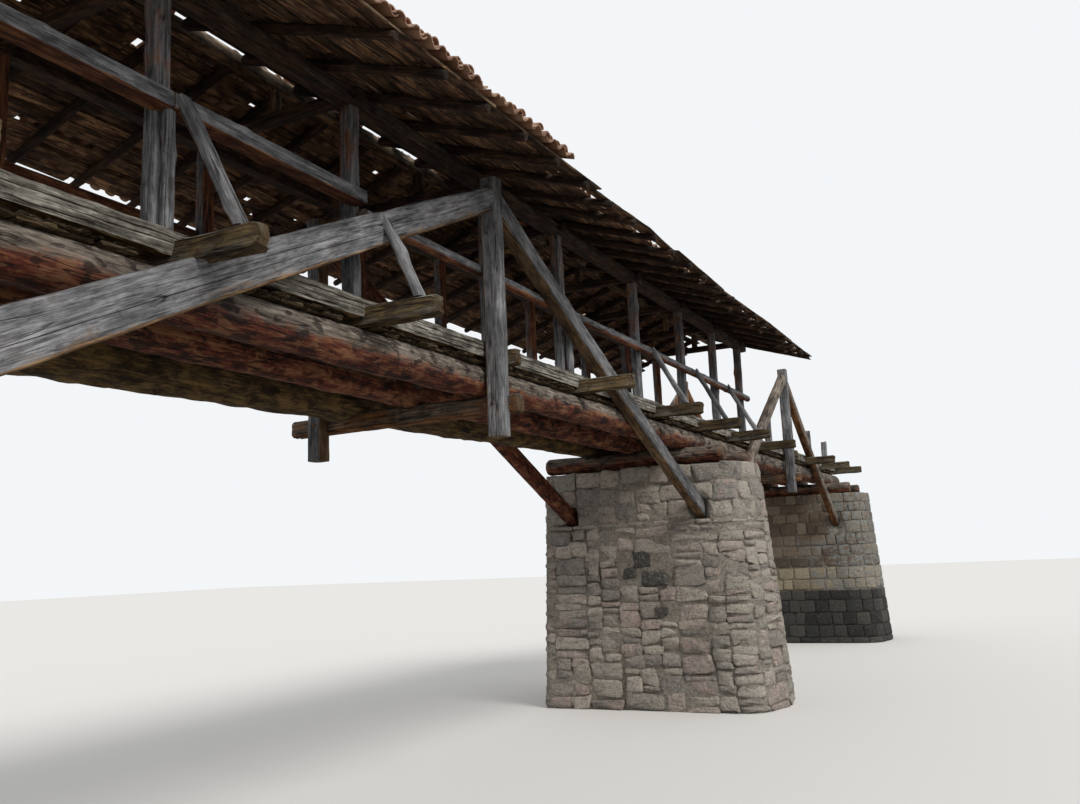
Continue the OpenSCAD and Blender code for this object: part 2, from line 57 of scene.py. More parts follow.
def makeCamera():
    turn, rise, roll = (math.radians(cameraSettings[k]) for k in ("turn", "rise", "roll"))
    ahead = np.array([math.cos(turn) * math.cos(rise), math.sin(turn) * math.cos(rise), math.sin(rise)])
    level = np.array([math.sin(turn), -math.cos(turn), 0.0])
    above = np.cross(level, ahead)
    right = level * math.cos(roll) + above * math.sin(roll)
    upward = above * math.cos(roll) - level * math.sin(roll)
    data = bpy.data.cameras.new("camera")
    data.lens = cameraSettings["lens"]
    data.sensor_width = 36
    data.clip_end = 500
    camera = bpy.data.objects.new("camera", data)
    matrix = Matrix.Identity(4)
    for row in range(3):
        matrix[row][0], matrix[row][1], matrix[row][2] = right[row], upward[row], -ahead[row]
        matrix[row][3] = cameraSettings["place"][row]
    camera.matrix_world = matrix
    bpy.context.scene.collection.objects.link(camera)
    bpy.context.scene.camera = camera


makeCamera()


def nodeName(name):
    # the frame's name for what a piece stands for: nearSill is near_sill
    return "".join("_" + letter.lower() if letter.isupper() else letter for letter in name)


def bothSides(stem):
    # the near and the far piece of a pair, each with its side
    return ("near" + stem, -1), ("far" + stem, 1)


def middle(node, axis):
    low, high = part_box(node)
    return (low[axis] + high[axis]) / 2


# Places taken from the frame, in metres
lowKing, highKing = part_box("near_king_post_long")
king1 = middle("near_king_post_long", 0)
king2 = middle("near_king_post_short", 0)
kingWide = highKing.x - lowKing.x
yTruss = 1.35
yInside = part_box("far_sill")[1].y
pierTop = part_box("middle_pier")[1].z
pierPlaces = (king1 - 9.8, king1 + 7.6, king2 + 5.7)  # the left face of each
longSpan, shortSpan = 15.2, 11.4  # between the piers
strutFoot = pierTop - 0.89
strutHead = highKing.z - 0.3
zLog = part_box("west_cross_logs")[1].z
zCross, zCrossTop = (v.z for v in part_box("cross_timbers"))
zSill, zFloor = (v.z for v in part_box("near_sill"))
zPlate, zPlateTop = (v.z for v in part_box("near_plate"))
needleLow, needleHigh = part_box("needle_beam_long")
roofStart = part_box("near_tiles")[0].x
roofEnd = king1 + 13.7
pitch = math.radians(19)
slopeLength = (yTruss + 1.2) / math.cos(pitch)
yPost = 1.02
ridgeUnder = zPlateTop - 0.012 + yPost * math.tan(pitch)  # rafters are notched 12 mm over the plates
yRail = 1.1703
poleHeight = zFloor + 0.9
handHeight = zFloor + 1.075
# from the first king post
postPlaces = [-9.3, -7.2, -4.9, -2.37, 0.45, 2.56, 5.65, 8.1, 10.35, 12.4]
crossPlaces = [-9.0, -6.95, -4.8, -2.35, 0.3, 2.75, 6.0, 8.42, 10.68, 13.15, 15.85, 18.15, 20.5, 22.7]


# Value noise: random numbers at the corners of cells of a given size, blended smoothly between them;
# each further layer has half the cell size and half the strength. Gives -1 to 1 for an array of points.
lattice = np.random.default_rng(5).random((32, 32, 32))


def noise(points, size, seed=0, layers=2):
    total = np.zeros(points.shape[:-1])
    weight, weights = 1.0, 0.0
    for layer in range(layers):
        place = points * (2.0**layer) / np.array(size, float) + 5.37 * (seed + 1) + 3.1 * layer
        cell = np.floor(place).astype(int)
        part = place - cell
        part = part * part * (3 - 2 * part)
        found = np.zeros(points.shape[:-1])
        for corner in range(8):
            step = np.array([corner & 1, corner >> 1 & 1, corner >> 2 & 1])
            share = np.where(step, part, 1 - part).prod(-1)
            at = (cell + step) % 32
            found += share * lattice[at[..., 0], at[..., 1], at[..., 2]]
        total += weight * (2 * found - 1)
        weights += weight
        weight *= 0.5
    return total / weights


def smooth(low, high, value):
    # 0 below low, 1 above high, and an S curve between them
    t = np.clip((value - low) / (high - low), 0, 1)
    return t * t * (3 - 2 * t)


def alongLine(values, size, seed, layers=2):
    # the same noise, along one line
    points = np.stack([values, np.zeros_like(values) + seed * 0.73, np.zeros_like(values)], -1)
    return noise(points, size, seed, layers)


def fromStart(line):
    # how far along a line each of its points is
    return np.concatenate([[0], np.cumsum(np.hypot(*np.diff(line, axis=0).T))])


def apart(share, place):
    # how far two places on a closed ring are from each other, as shares of the way round
    return np.abs((share - place + 0.5) % 1 - 0.5)


counts = {"triangles": 0}


class Batch:
    # gathers closed surfaces into one mesh, each with its faces turned outwards
    def __init__(self, name):
        self.name = name
        self.points, self.quads, self.tris, self.grain, self.kind = [], [], [], [], []
        self.count = 0

    def add(self, part):
        points, quads, tris = part["points"], part["quads"], part["tris"]
        a, b, c, d = (points[quads[:, k]] for k in range(4))
        volume = (a * np.cross(b, c)).sum() + (a * np.cross(c, d)).sum()
        if len(tris):
            e, f, g = (points[tris[:, k]] for k in range(3))
            volume += (e * np.cross(f, g)).sum()
        turn = slice(None, None, -1) if volume < 0 else slice(None)
        self.points.append(points)
        self.quads.append(quads[:, turn] + self.count)
        self.tris.append(tris[:, turn] + self.count)
        self.grain.append(part["grain"])
        self.kind.append(part["kind"])
        self.count += len(points)

    def done(self, material, slotName, *nodes, sharp=50):
        points = np.concatenate(self.points)
        quads, tris = np.concatenate(self.quads), np.concatenate(self.tris)
        mesh = bpy.data.meshes.new(self.name)
        mesh.vertices.add(len(points))
        mesh.vertices.foreach_set("co", points.astype(np.float32).ravel())
        corners = np.concatenate([quads.ravel(), tris.ravel()]).astype(np.int32)
        sizes = np.concatenate([np.full(len(quads), 4), np.full(len(tris), 3)])
        mesh.loops.add(len(corners))
        mesh.loops.foreach_set("vertex_index", corners)
        mesh.polygons.add(len(sizes))
        starts = np.concatenate([[0], np.cumsum(sizes)[:-1]]).astype(np.int32)
        mesh.polygons.foreach_set("loop_start", starts)
        mesh.polygons.foreach_set("loop_total", sizes.astype(np.int32))
        mesh.polygons.foreach_set("use_smooth", np.ones(len(sizes), bool))
        for name, values in (("grain", self.grain), ("kind", self.kind)):
            layer = mesh.attributes.new(name, "FLOAT_VECTOR", "POINT")
            layer.data.foreach_set("vector", np.concatenate(values).astype(np.float32).ravel())
        mesh.update(calc_edges=True)
        mesh.validate()
        mesh.set_sharp_from_angle(angle=math.radians(sharp))
        mesh.materials.append(material)
        piece = bpy.data.objects.new(self.name, mesh)
        bpy.context.scene.collection.objects.link(piece)
        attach(piece, "root")
        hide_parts(*nodes)
        triangles = 2 * len(quads) + len(tris)
        counts["triangles"] += triangles
        print("piece", self.name, triangles, "triangles")


def surface(points, kind, quads, tris=(), grain=None):
    # one closed surface: its points, its faces, and two attributes. The kind is three numbers for the
    # material to read, and the grain is where a point lies in the wood.
    points = points.reshape(-1, 3)
    return {
        "points": points,
        "grain": points if grain is None else grain,
        "kind": kind.reshape(-1, 3),
        "quads": quads.reshape(-1, 4),
        "tris": np.asarray(tris, int).reshape(-1, 3),
    }


def ringFaces(rings, around):
    # quads of a closed tube of rings, then triangles to a point at each end; the two points come last
    i, j = np.meshgrid(np.arange(rings - 1), np.arange(around), indexing="ij")
    k = (j + 1) % around
    quads = np.stack([i * around + j, (i + 1) * around + j, (i + 1) * around + k, i * around + k], -1)
    j = np.arange(around)
    k = (j + 1) % around
    last = (rings - 1) * around
    first = np.stack([np.full(around, rings * around), j, k], -1)
    second = np.stack([np.full(around, rings * around + 1), last + k, last + j], -1)
    return quads.reshape(-1, 4), np.concatenate([first, second])


def outline(width, height, corner):
    # a rounded rectangle as a dense closed line, starting at the middle of a corner; gives y, z, the
    # outward direction, and how far round each point is, where bends count as extra length
    corner = min(corner, width / 2, height / 2)
    spans = (  # from and to in degrees, how many points, and the signs of the bend's middle
        (-45, 0, 5, 1, -1), (0, 90, 9, 1, 1), (90, 180, 9, -1, 1), (180, 270, 9, -1, -1),
        (270, 315, 5, 1, -1),
    )
    turn = np.radians(np.concatenate([np.linspace(a, b, n) for a, b, n, _, _ in spans]))
    cy = np.concatenate([np.full(n, s * (width / 2 - corner)) for _, _, n, s, _ in spans])
    cz = np.concatenate([np.full(n, s * (height / 2 - corner)) for _, _, n, _, s in spans])
    y, z = cy + corner * np.cos(turn), cz + corner * np.sin(turn)
    step = np.hypot(np.diff(y), np.diff(z)) + 0.45 * (width + height) * np.diff(turn) / (2 * np.pi)
    way = np.concatenate([[0], np.cumsum(step)])
    return y, z, turn, way / way[-1]


timberLook = {
    "seed": 0,
    "rings": 16,
    "around": 20,
    "corner": 0.02,
    "rough": 0.004,
    "lumps": (0.28, 0.09, 0.09),  # size of the hewing marks along, across and in depth
    "fine": 0.0012,
    "bow": 0.01,
    "swell": 0.03,
    "taper": (1.0, 1.0),  # across and deep, at the end
    "lip": 0.012,  # how far back an end is rounded, and how much
    "round": 0.96,
    "fray": 0.0,  # how uneven the side edges are
    "wane": 0.0,  # how much one arris is left rounded, and which
    "waneAt": 0.0,
    "ragged": 0.0,  # how much the underside is eaten away
    "cracks": (),  # share of the way round, from, to, depth, width
    "knots": 0,
    "brown": 0.0,
    "open": (-0.2, -0.75, 0.6),  # where the weather and the light come from; faces turned away are browner, by weathering and by painted shade
    "up": (0, 0, 1),
    "shear": (0.0, 0.0),  # a raking cut at the start and the end, across
    "endRough": 0.006,
}


def timber(start, end, width, height, **changes):
    # A rounded rectangle carried from start to end. Each ring is scaled by slow noise, moved sideways by a
    # half sine wave, and pushed along its outward direction by hewing noise, cracks, knots and wane.
    look = {**timberLook, **changes}
    seed, rings, around, cracks = (look[key] for key in ("seed", "rings", "around", "cracks"))
    random = np.random.default_rng(1000 + seed)
    start, end = np.array(start, float), np.array(end, float)
    length = np.linalg.norm(end - start)
    axis = (end - start) / length
    side = np.cross(axis, look["up"])
    side /= np.linalg.norm(side)
    top = np.cross(side, axis)
    lip = min(look["lip"], length * 0.04)
    s = np.concatenate([[0, 0], np.linspace(lip, length - lip, rings), [length, length]])
    shrink = np.concatenate([[0.5, look["round"]], np.ones(rings), [look["round"], 0.5]])
    ends = np.concatenate([[1, 1], np.zeros(rings), [1, 1]])
    y0, z0, turn0, way = outline(width, height, look["corner"])
    girth = 2 * (width + height)

    # points go evenly round each ring, but a crack takes three of its own in place of those beside it
    base = (np.arange(around) + 0.5) / around
    for crack in cracks:
        base = base[apart(base, crack[0]) > 0.55 / around]
    columns, marks = [np.repeat(base[None], len(s), 0)], [np.zeros((len(s), len(base)))]
    for number, (place, first, last, depth, wide) in enumerate(cracks):
        drift = place + 0.22 / around * alongLine(s, 0.5, seed + number)
        gape = smooth(first, first + 0.3, s) * smooth(last, last - 0.3, s)
        gape = gape * (0.6 + 0.4 * alongLine(s, 0.35, seed + 5 + number))
        half = wide / 2 / girth * (0.25 + 0.75 * gape)
        columns.append(drift[:, None] + half[:, None] * np.array([-1, 0, 1]))
        marks.append(depth * gape[:, None] * np.array([0.06, 1, 0.06]))
    share, depth = np.concatenate(columns, 1) % 1, np.concatenate(marks, 1)
    order = np.argsort(share[len(s) // 2])
    share, depth = share[:, order], depth[:, order]

    y, z, turn = (np.interp(share, way, v) for v in (y0, z0, turn0))
    ny, nz = np.cos(turn), np.sin(turn)
    sizes = [1 + (taper - 1) * s / length for taper in look["taper"]]
    y = y * (sizes[0] * (1 + look["swell"] * alongLine(s, 0.9, seed + 11)))[:, None]
    z = z * (sizes[1] * (1 + look["swell"] * alongLine(s, 0.9, seed + 12)))[:, None]
    shift = random.uniform(-9, 9, 3)
    grain = np.stack([np.repeat(s[:, None], y.shape[1], 1), y, z], -1) + shift
    push = look["rough"] * noise(grain, look["lumps"], seed, 2)
    push += look["fine"] * noise(grain, (0.12, 0.016, 0.016), seed + 3, 1)
    if look["ragged"]:
        eaten = noise(grain, (0.5, 0.022, 0.06), seed + 7, 2)
        eaten = eaten + 0.4 * noise(grain, (0.18, 0.12, 0.12), seed + 8, 1)
        push -= look["ragged"] * smooth(0.25, 0.9, -nz) * np.clip(0.45 + eaten, 0, 1.2)
    if look["fray"]:
        frayed = np.clip(0.3 + noise(grain, (0.22, 0.3, 0.3), seed + 6, 2), 0, 1)
        push -= look["fray"] * np.abs(ny) * frayed
    if look["wane"]:
        near = apart(share, look["waneAt"])
        waned = np.exp(-((near / 0.07) ** 2)) * (0.6 + 0.5 * alongLine(s, 0.7, seed + 9))[:, None]
        push -= look["wane"] * waned
    for number in range(look["knots"]):
        at, place, tall = random.uniform(0.1, 0.9) * length, random.uniform(0, 1), random.uniform(0.5, 1)
        far = ((s[:, None] - at) / 0.07) ** 2 + (apart(share, place) * girth / 0.06) ** 2
        push += 0.022 * tall * np.exp(-far)
    push -= depth
    y, z = (y + ny * push) * shrink[:, None], (z + nz * push) * shrink[:, None]

    arch = look["bow"] * np.sin(np.pi * s / length)
    lean = random.uniform(0, 2 * np.pi)
    along = s[:, None] + look["shear"][0] * y * smooth(0.5 * length, 0, s)[:, None]
    along = along + look["shear"][1] * y * smooth(0.5 * length, length, s)[:, None]
    jag = look["endRough"] * noise(grain * (0, 1, 1), 0.03, seed + 20, 2)
    along = along + jag * (ends * np.sign(s - length / 2))[:, None]
    sideways = (arch * math.cos(lean))[:, None] + y
    upwards = (arch * math.sin(lean))[:, None] + z
    points = start + along[..., None] * axis + sideways[..., None] * side + upwards[..., None] * top

    # the kind: how brown, partly from weathering and partly painted shade on faces turned from the light,
    # this timber's own chance, and 1 on a cut end
    normals = ny[..., None] * side + nz[..., None] * top
    tone = 0.45 - 0.95 * normals @ np.array(look["open"]) + look["brown"]
    tone = tone + 0.25 * noise(points, 0.6, seed + 30)
    if look["wane"]:
        tone = tone + 0.7 * np.exp(-((near / 0.12) ** 2))
    cut = np.repeat(ends[:, None], y.shape[1], 1)
    kind = np.stack([np.clip(tone, 0, 1), np.full_like(tone, random.random()), cut], -1)

    def capped(values, first, last):
        return np.concatenate([values.reshape(-1, 3), [first, last]])

    quads, tris = ringFaces(len(s), y.shape[1])
    grain = capped(grain, grain[0].mean(0), grain[-1].mean(0))
    kind = capped(kind, kind[0, 0], kind[-1, 0])
    return surface(capped(points, points[0].mean(0), points[-1].mean(0)), kind, quads, tris, grain)


def lying(x0, x1, y, z, width, height, **changes):
    return timber((x0, y, z), (x1, y, z), width, height, **changes)


def crossing(x, reach, z, width, height, **changes):
    return timber((x, -reach, z), (x, reach, z), width, height, **changes)


def upright(x, y, low, high, wide, **changes):
    return timber((x, y, low), (x, y, high), wide, wide, **{"up": (1, 0, 0), **changes})


def clampTo(part, axis, low=None, high=None):
    # flattens whatever passes a plane, as a hewn seat does
    part["points"][:, axis] = np.clip(part["points"][:, axis], low, high)
    return part


# Shader maths: a socket that answers to + - * and makes any other node; a written colour can be a value
class Wire:
    def __init__(self, tree, socket=None):
        self.tree = tree
        self.socket = socket

    def node(self, kind, settings=None, values=None, out=0):
        made = self.tree.nodes.new("ShaderNode" + kind)
        for key, value in (settings or {}).items():
            if key == "stops":
                ramp = made.color_ramp.elements
                for number, (place, code) in enumerate(value):
                    stop = ramp[number] if number < 2 else ramp.new(place)
                    stop.position = place
                    stop.color = shade(code)
            else:
                setattr(made, key, value)
        for key, value in (values or {}).items():
            if isinstance(value, Wire):
                self.tree.links.new(value.socket, made.inputs[key])
            else:
                made.inputs[key].default_value = shade(value) if isinstance(value, str) else value
        return Wire(self.tree, made.outputs[out])

    def maths(self, operation, first, second=0.0):
        return self.node("Math", {"operation": operation}, {0: first, 1: second})

    def __add__(self, other):
        return self.maths("ADD", self, other)

    def __radd__(self, other):
        return self.maths("ADD", other, self)

    def __sub__(self, other):
        return self.maths("SUBTRACT", self, other)

    def __rsub__(self, other):
        return self.maths("SUBTRACT", other, self)

    def __mul__(self, other):
        return self.maths("MULTIPLY", self, other)

    def __rmul__(self, other):
        return self.maths("MULTIPLY", other, self)

    def size(self):
        return self.maths("ABSOLUTE", self)

    def between(self, low, high):
        # 0 below low, 1 above high
        values = {"Value": self, "From Min": low, "From Max": high}
        return self.node("MapRange", {"interpolation_type": "SMOOTHSTEP"}, values)

    def cloud(self, scale, detail=2.0, rough=0.5, distortion=0.0):
        # soft noise, or stretched noise where scale has a number for each axis
        if isinstance(scale, tuple):
            place = self.node("VectorMath", {"operation": "MULTIPLY"}, {0: self, 1: scale})
            return place.cloud(1.0, detail, rough, distortion)
        values = {"Vector": self, "Scale": scale, "Detail": detail, "Roughness": rough}
        return self.node("TexNoise", None, {**values, "Distortion": distortion})

    def mixed(self, first, second):
        # this value is the factor between two colours
        return self.node("Mix", {"data_type": "RGBA"}, {0: self, 6: first, 7: second}, out=2)

    def painted(self, *coats):
        # lays further colours over this one, each as far as its own factor says
        body = self
        for factor, colour in coats:
            body = factor.mixed(body, colour)
        return body

    def lit(self, lightness):
        return self.node("HueSaturation", None, {"Value": lightness, "Color": self})

    def ramp(self, *stops):
        return self.node("ValToRGB", {"stops": stops}, {0: self})

    def part(self, number):
        return self.node("SeparateXYZ", None, {0: self}, out=number)

    def attribute(self, name):
        return self.node("Attribute", {"attribute_name": name}, out=1)


def shade(code):
    # a written colour as linear light
    parts = [int(code[k:k + 2], 16) / 255 for k in (1, 3, 5)]
    return tuple(v / 12.92 if v <= 0.04045 else ((v + 0.055) / 1.055) ** 2.4 for v in parts) + (1.0,)


def emptyTree(owner):
    owner.use_nodes = True
    owner.node_tree.nodes.clear()
    return Wire(owner.node_tree)


def output(kind, wire):
    out = wire.tree.nodes.new("ShaderNode" + kind)
    wire.tree.links.new(wire.socket, out.inputs[0])


def newMaterial(name):
    material = bpy.data.materials.new(name)
    start = emptyTree(material)
    kind = start.attribute("kind")
    return material, start, [kind.part(k) for k in range(3)]


def finishMaterial(material, colour, rough, height, strength, distance):
    values = {"Strength": strength, "Distance": distance, "Height": height}
    bump = colour.node("Bump", None, values)
    values = {"Base Color": colour, "Roughness": rough, "Normal": bump, "Specular IOR Level": 0.25}
    output("OutputMaterial", colour.node("BsdfPrincipled", None, values))
    return material


woodLook = {
    "checks": 0.8,
    "many": 10,  # how many go across a metre
    "streaks": 13,  # and how many streaks
    "coarse": 1.3,  # how deep the streaks are
    "patches": 0.6,  # how strong the hand-sized patches are
    "broad": 0.7,  # how far wide areas differ in lightness
    "vary": 0.34,  # how far one timber differs from another
    "sawn": ("#3a2a20", "#7a6650"),  # a cut end
}
# three grays and three browns from dark to light, and what departs from woodLook
woodLooks = {
    "hewnWood": {
        "grays": ("#4f5052", "#7a7b7e", "#a09fa0"), "browns": ("#3b2c22", "#74593f", "#9c7f5c"),
        "sawn": ("#4d3d2e", "#8e7c64"),
        "checks": 0.9, "many": 11, "streaks": 16, "coarse": 1.1, "patches": 0.4, "broad": 1.7,
    },
    "edgeWood": {
        "grays": ("#37332e", "#7d7970", "#b7b2a7"), "browns": ("#2c2015", "#6b522f", "#9a7a47"),
        "sawn": ("#3d3226", "#8a7a62"),
        "checks": 1.0, "many": 16, "streaks": 20, "coarse": 1.6, "patches": 0.4,
    },
    "logWood": {
        "grays": ("#3b342f", "#746a60", "#9d9488"), "browns": ("#221310", "#673022", "#93694a"),
        "many": 8, "streaks": 9, "coarse": 2.0, "patches": 1.0,
    },
    "oliveWood": {
        "grays": ("#3a3429", "#6b624f", "#91866c"), "browns": ("#261c13", "#574329", "#8a6e42"),
        "many": 8, "streaks": 8, "coarse": 1.8, "patches": 0.8,
    },
    "beamWood": {
        "grays": ("#433a33", "#7d7267", "#a69c90"), "browns": ("#301c13", "#6e472b", "#9c7044"),
        "sawn": ("#33261c", "#75614a"),
    },
    "deckWood": {
        "grays": ("#36322b", "#746f65", "#a39e92"), "browns": ("#241a12", "#55452f", "#7f6c4a"),
        "sawn": ("#2b2118", "#665338"),
        "checks": 1.0, "many": 14, "streaks": 18, "vary": 0.6,
    },
    "wallWood": {
        "grays": ("#484849", "#77787b", "#9c9d9f"), "browns": ("#301a13", "#6a3d2a", "#9a6a46"),
        "sawn": ("#40342a", "#8a7862"),
        "checks": 0.85, "many": 11, "streaks": 15, "coarse": 1.1, "patches": 0.4,
    },
    "roofWood": {
        "grays": ("#332b26", "#71614f", "#b3a18c"), "browns": ("#20140f", "#583b2b", "#a07a55"),
        "sawn": ("#2a1f18", "#5f4d3c"),
        "patches": 0.7, "vary": 0.95,
    },
    # darker wood under the roof: its own brown with the roof's shade painted in
    "shadedRafterWood": {
        "grays": ("#1e1917", "#3d332c", "#6b5d50"), "browns": ("#150e0b", "#311f17", "#5e4331"),
        "sawn": ("#171210", "#3a2f27"),
        "checks": 0.7, "many": 9, "streaks": 12, "patches": 0.5,
    },
}


def woodMaterial(name):
    look = {**woodLook, **woodLooks[name]}
    material, start, (tone, chance, cut) = newMaterial(name)
    grain = start.attribute("grain")
    fibre = grain.cloud((2.6, 38, 38), 6.0, 0.8)
    streak = grain.cloud((1.6, look["streaks"], look["streaks"]), 4.0, 0.68, 0.5)
    blotch = grain.cloud((3.0, 7, 7), 4.0, 0.65)
    spot = grain.cloud((4.5, 9, 9), 3.0, 0.6, 0.4)
    patch = grain.cloud((0.7, 1.5, 1.5))
    # checks follow the places where slow noise passes its middle; hair lines do so in finer noise
    lines = (grain.cloud((0.55, look["many"], look["many"]), 2.0, 0.5, 0.2) - 0.5).size()
    where = grain.cloud((0.9, 5, 5), 1.0).between(0.44, 0.56)
    check = (1 - lines.between(0.003, 0.018)) * where
    hair = 1 - (grain.cloud((1.0, 30, 30), 2.0, 0.5, 0.3) - 0.5).size().between(0.0, 0.03)
    height = fibre * 0.35 + streak * 0.6 * look["coarse"] - hair * 0.2 - check
    mottle = fibre * 0.5 + streak * 0.22 + blotch * 0.28
    grays, browns = (mottle.ramp(*zip((0.42, 0.5, 0.58), look[key])) for key in ("grays", "browns"))
    # browns where the kind is high, which carries weathering and painted shade on faces turned from the light
    shelteredAndShaded = (tone + (blotch - 0.5) * 1.3 + (streak - 0.5) * 0.9).between(0.28, 0.74)
    stained = (1 - spot.between(0.39, 0.47)) * look["patches"] * 0.8
    bare = spot.between(0.55, 0.63) * look["patches"] * 0.55 * tone.between(0.1, 0.6)
    sawn = (fibre * 0.6 + blotch * 0.4).ramp((0.35, look["sawn"][0]), (0.65, look["sawn"][1]))
    body = grays.painted(
        (shelteredAndShaded, browns), (stained, look["browns"][0]), (bare, look["browns"][2]), (cut * 0.75, sawn),
    )
    body = body.lit(0.95 + (chance - 0.5) * look["vary"] + (patch - 0.5) * look["broad"])
    hair, check = hair * 0.45 * look["checks"], check * look["checks"] * 0.9
    body = body.painted((hair, "#241b16"), (check, "#14100d"))
    return finishMaterial(material, body, 0.74 + 0.2 * fibre, height, 0.8, 0.014)


stoneLooks = {
    "pierStone": {
        "stops": (
            (0.0, "#7f7a74"), (0.2, "#99928a"), (0.45, "#ada599"), (0.65, "#bbb2a6"), (0.85, "#ad9a91"),
            (1.0, "#8b8883"),
        ),
        "mortar": ("#7d756b", "#a8a094"), "lichen": "#93928b", "lichenAmount": 0.4, "lichenNear": 0.22,
        "chips": "#c4bdb1", "light": 0.84, "banded": False,
    },
    "ashlarStone": {
        "stops": ((0.0, "#67594e"), (0.3, "#7f6c5b"), (0.6, "#8b7b6a"), (0.85, "#968977"), (1.0, "#7a756b")),
        "mortar": ("#6a6256", "#a59a86"), "lichen": "#8f918e", "lichenAmount": 0.95, "lichenNear": 0.36,
        "chips": "#8f8573", "light": 0.72, "banded": True,
    },
}


def stoneMaterial(name):
    look = stoneLooks[name]
    material, start, (chance, joint, dark) = newMaterial(name)
    place = start.node("TexCoord", out=3)
    wide = place.cloud(1.1, 4.0, 0.6)
    spots = place.cloud(8.0, 6.0, 0.7, 0.2)
    gritty = place.cloud(55.0, 6.0, 0.75)
    chunk = place.cloud(19.0, 4.0, 0.7, 0.6)
    layered = place.cloud((4.0, 4.0, 19.0), 5.0, 0.65, 0.8)
    body = (chance * 0.85 + (spots - 0.5) * 0.8 + (wide - 0.5) * 0.5 + 0.08).ramp(*look["stops"])
    mortar = spots.ramp((0.3, look["mortar"][0]), (0.7, look["mortar"][1]))
    # lichen and weather: pale gray patches, more of them towards the rounded end
    near = 1 - place.part(1).between(-2.0, -0.6)
    lichen = (wide + near * look["lichenNear"]).between(0.5, 0.66)
    lichen = lichen * spots.between(0.4, 0.56) * look["lichenAmount"]
    if look["banded"]:
        # from the ground: a dark damp base, a pale band, and one course of mixed dark and light stones
        high = place.part(2) + (wide - 0.5) * 0.05
        base = 1 - high.between(1.56, 1.62)
        pale = high.between(1.58, 1.62) * (1 - high.between(2.25, 2.29))
        mixed = high.between(2.25, 2.29) * (1 - high.between(2.57, 2.61)) * chance.between(0.35, 0.5)
        damp = chance.ramp((0.0, "#24292c"), (0.6, "#373c3e"), (1.0, "#504f4c"))
        pale = pale * (0.5 + 0.4 * chance)
        body = body.painted((pale, "#b8ab92"), (mixed * 0.75, "#4f4a43"), (base * 0.94, damp))
        mortar = (base * 0.9).mixed(mortar, "#2a2c2c")
        lichen = lichen * (1 - base)
    body = body.painted(
        (dark, spots.ramp((0.3, "#3f3d3a"), (0.7, "#5e5b56"))),
        (joint.between(0.25, 0.75), mortar),
        (lichen, look["lichen"]),
        ((1 - layered.between(0.33, 0.47)) * 0.36, "#4b4138"),  # soot in level streaks
        ((1 - chunk.between(0.36, 0.47)) * 0.5, "#564e46"),
        (chunk.between(0.55, 0.66) * 0.4, look["chips"]),
        ((1 - gritty.between(0.36, 0.45)) * 0.42, "#544b41"),  # specks
    )
    body = body.lit(look["light"] + 0.5 * gritty)
    height = gritty * 0.35 + spots * 0.5 + layered * 0.8 + chunk * 1.2
    return finishMaterial(material, body, 0.82 + 0.15 * gritty, height, 0.95, 0.045)


clayLook = {
    "above": ((0.0, "#6d5b50"), (0.35, "#94796a"), (0.7, "#b39885"), (1.0, "#c2ae9c")),
    "below": ((0.0, "#77503d"), (0.5, "#a0765d"), (1.0, "#bc977c")),
}


def tileMaterial(name):
    material, start, (under, chance, edge) = newMaterial(name)
    place = start.node("TexCoord", out=3)
    spots = place.cloud(14.0, 5.0, 0.65)
    gritty = place.cloud(90.0, 3.0, 0.6)
    wide = place.cloud(2.0, 3.0)
    above = (chance * 0.75 + (spots - 0.5) * 0.6 + 0.12).ramp(*clayLook["above"])
    below = (chance * 0.8 + (spots - 0.5) * 0.4 + 0.1).ramp(*clayLook["below"])
    grime = wide.between(0.45, 0.65) * spots.between(0.4, 0.6) * (1 - under) * 0.75
    body = above.painted((under, below), (grime, "#6d675c"), (edge * 0.4, "#8d6a55"))
    body = body.lit(0.85 + 0.3 * gritty)
    return finishMaterial(material, body, 0.75 + 0.2 * spots, gritty * 0.3 + spots * 0.5, 0.5, 0.006)


woods = {name: woodMaterial(name) for name in woodLooks}
stones = {name: stoneMaterial(name) for name in stoneLooks}
tileClay = tileMaterial("roofTileClay")
print("materials made")

# Stone piers: a mortar core, and every stone a closed block set in its face. A band of work is its height,
# the heights and the widths of its stones, from the top down.
pierPlan = {
    "thick": 2.2, "near": 0.78, "far": 0.5, "corner": 0.6, "bulge": 0.12, "lean": 0.14, "nose": 0.33,
    "farCorner": 0.07, "slices": 24, "columns": (150, 225, 225),
}
rubble = (
    (0.36, (0.36,), (0.38, 0.78)),
    (0.35, (0.35,), (0.32, 0.7)),
    (0.34, (0.17, 0.34, 0.34), (0.26, 0.5)),
    (0.1, (0.1,), (0.25, 0.6)),
    (3.39, (0.13, 0.17, 0.21, 0.26, 0.32), (0.3, 0.86)),
)
ashlarCourses = (0.3, 0.29, 0.28, 0.4, 0.34, 0.34, 0.32, 0.37, 0.32, 0.32, 0.38, 0.38, 0.36, 0.18)
ashlar = tuple((high, (high,), (0.3, 0.56)) for high in ashlarCourses)
rubblePier = {
    "slot": "pier_stone", "stone": "pierStone", "bands": rubble,
    "joint": (0.003, 0.012), "uneven": 0.022, "tilt": 0.012, "jitter": 0.042, "rough": 0.03,
    "broken": 0.055,  # how much a stone's corners have lost
    "deep": (0.017, 0.075),  # how far the mortar lies back
    "blocks": (),
}
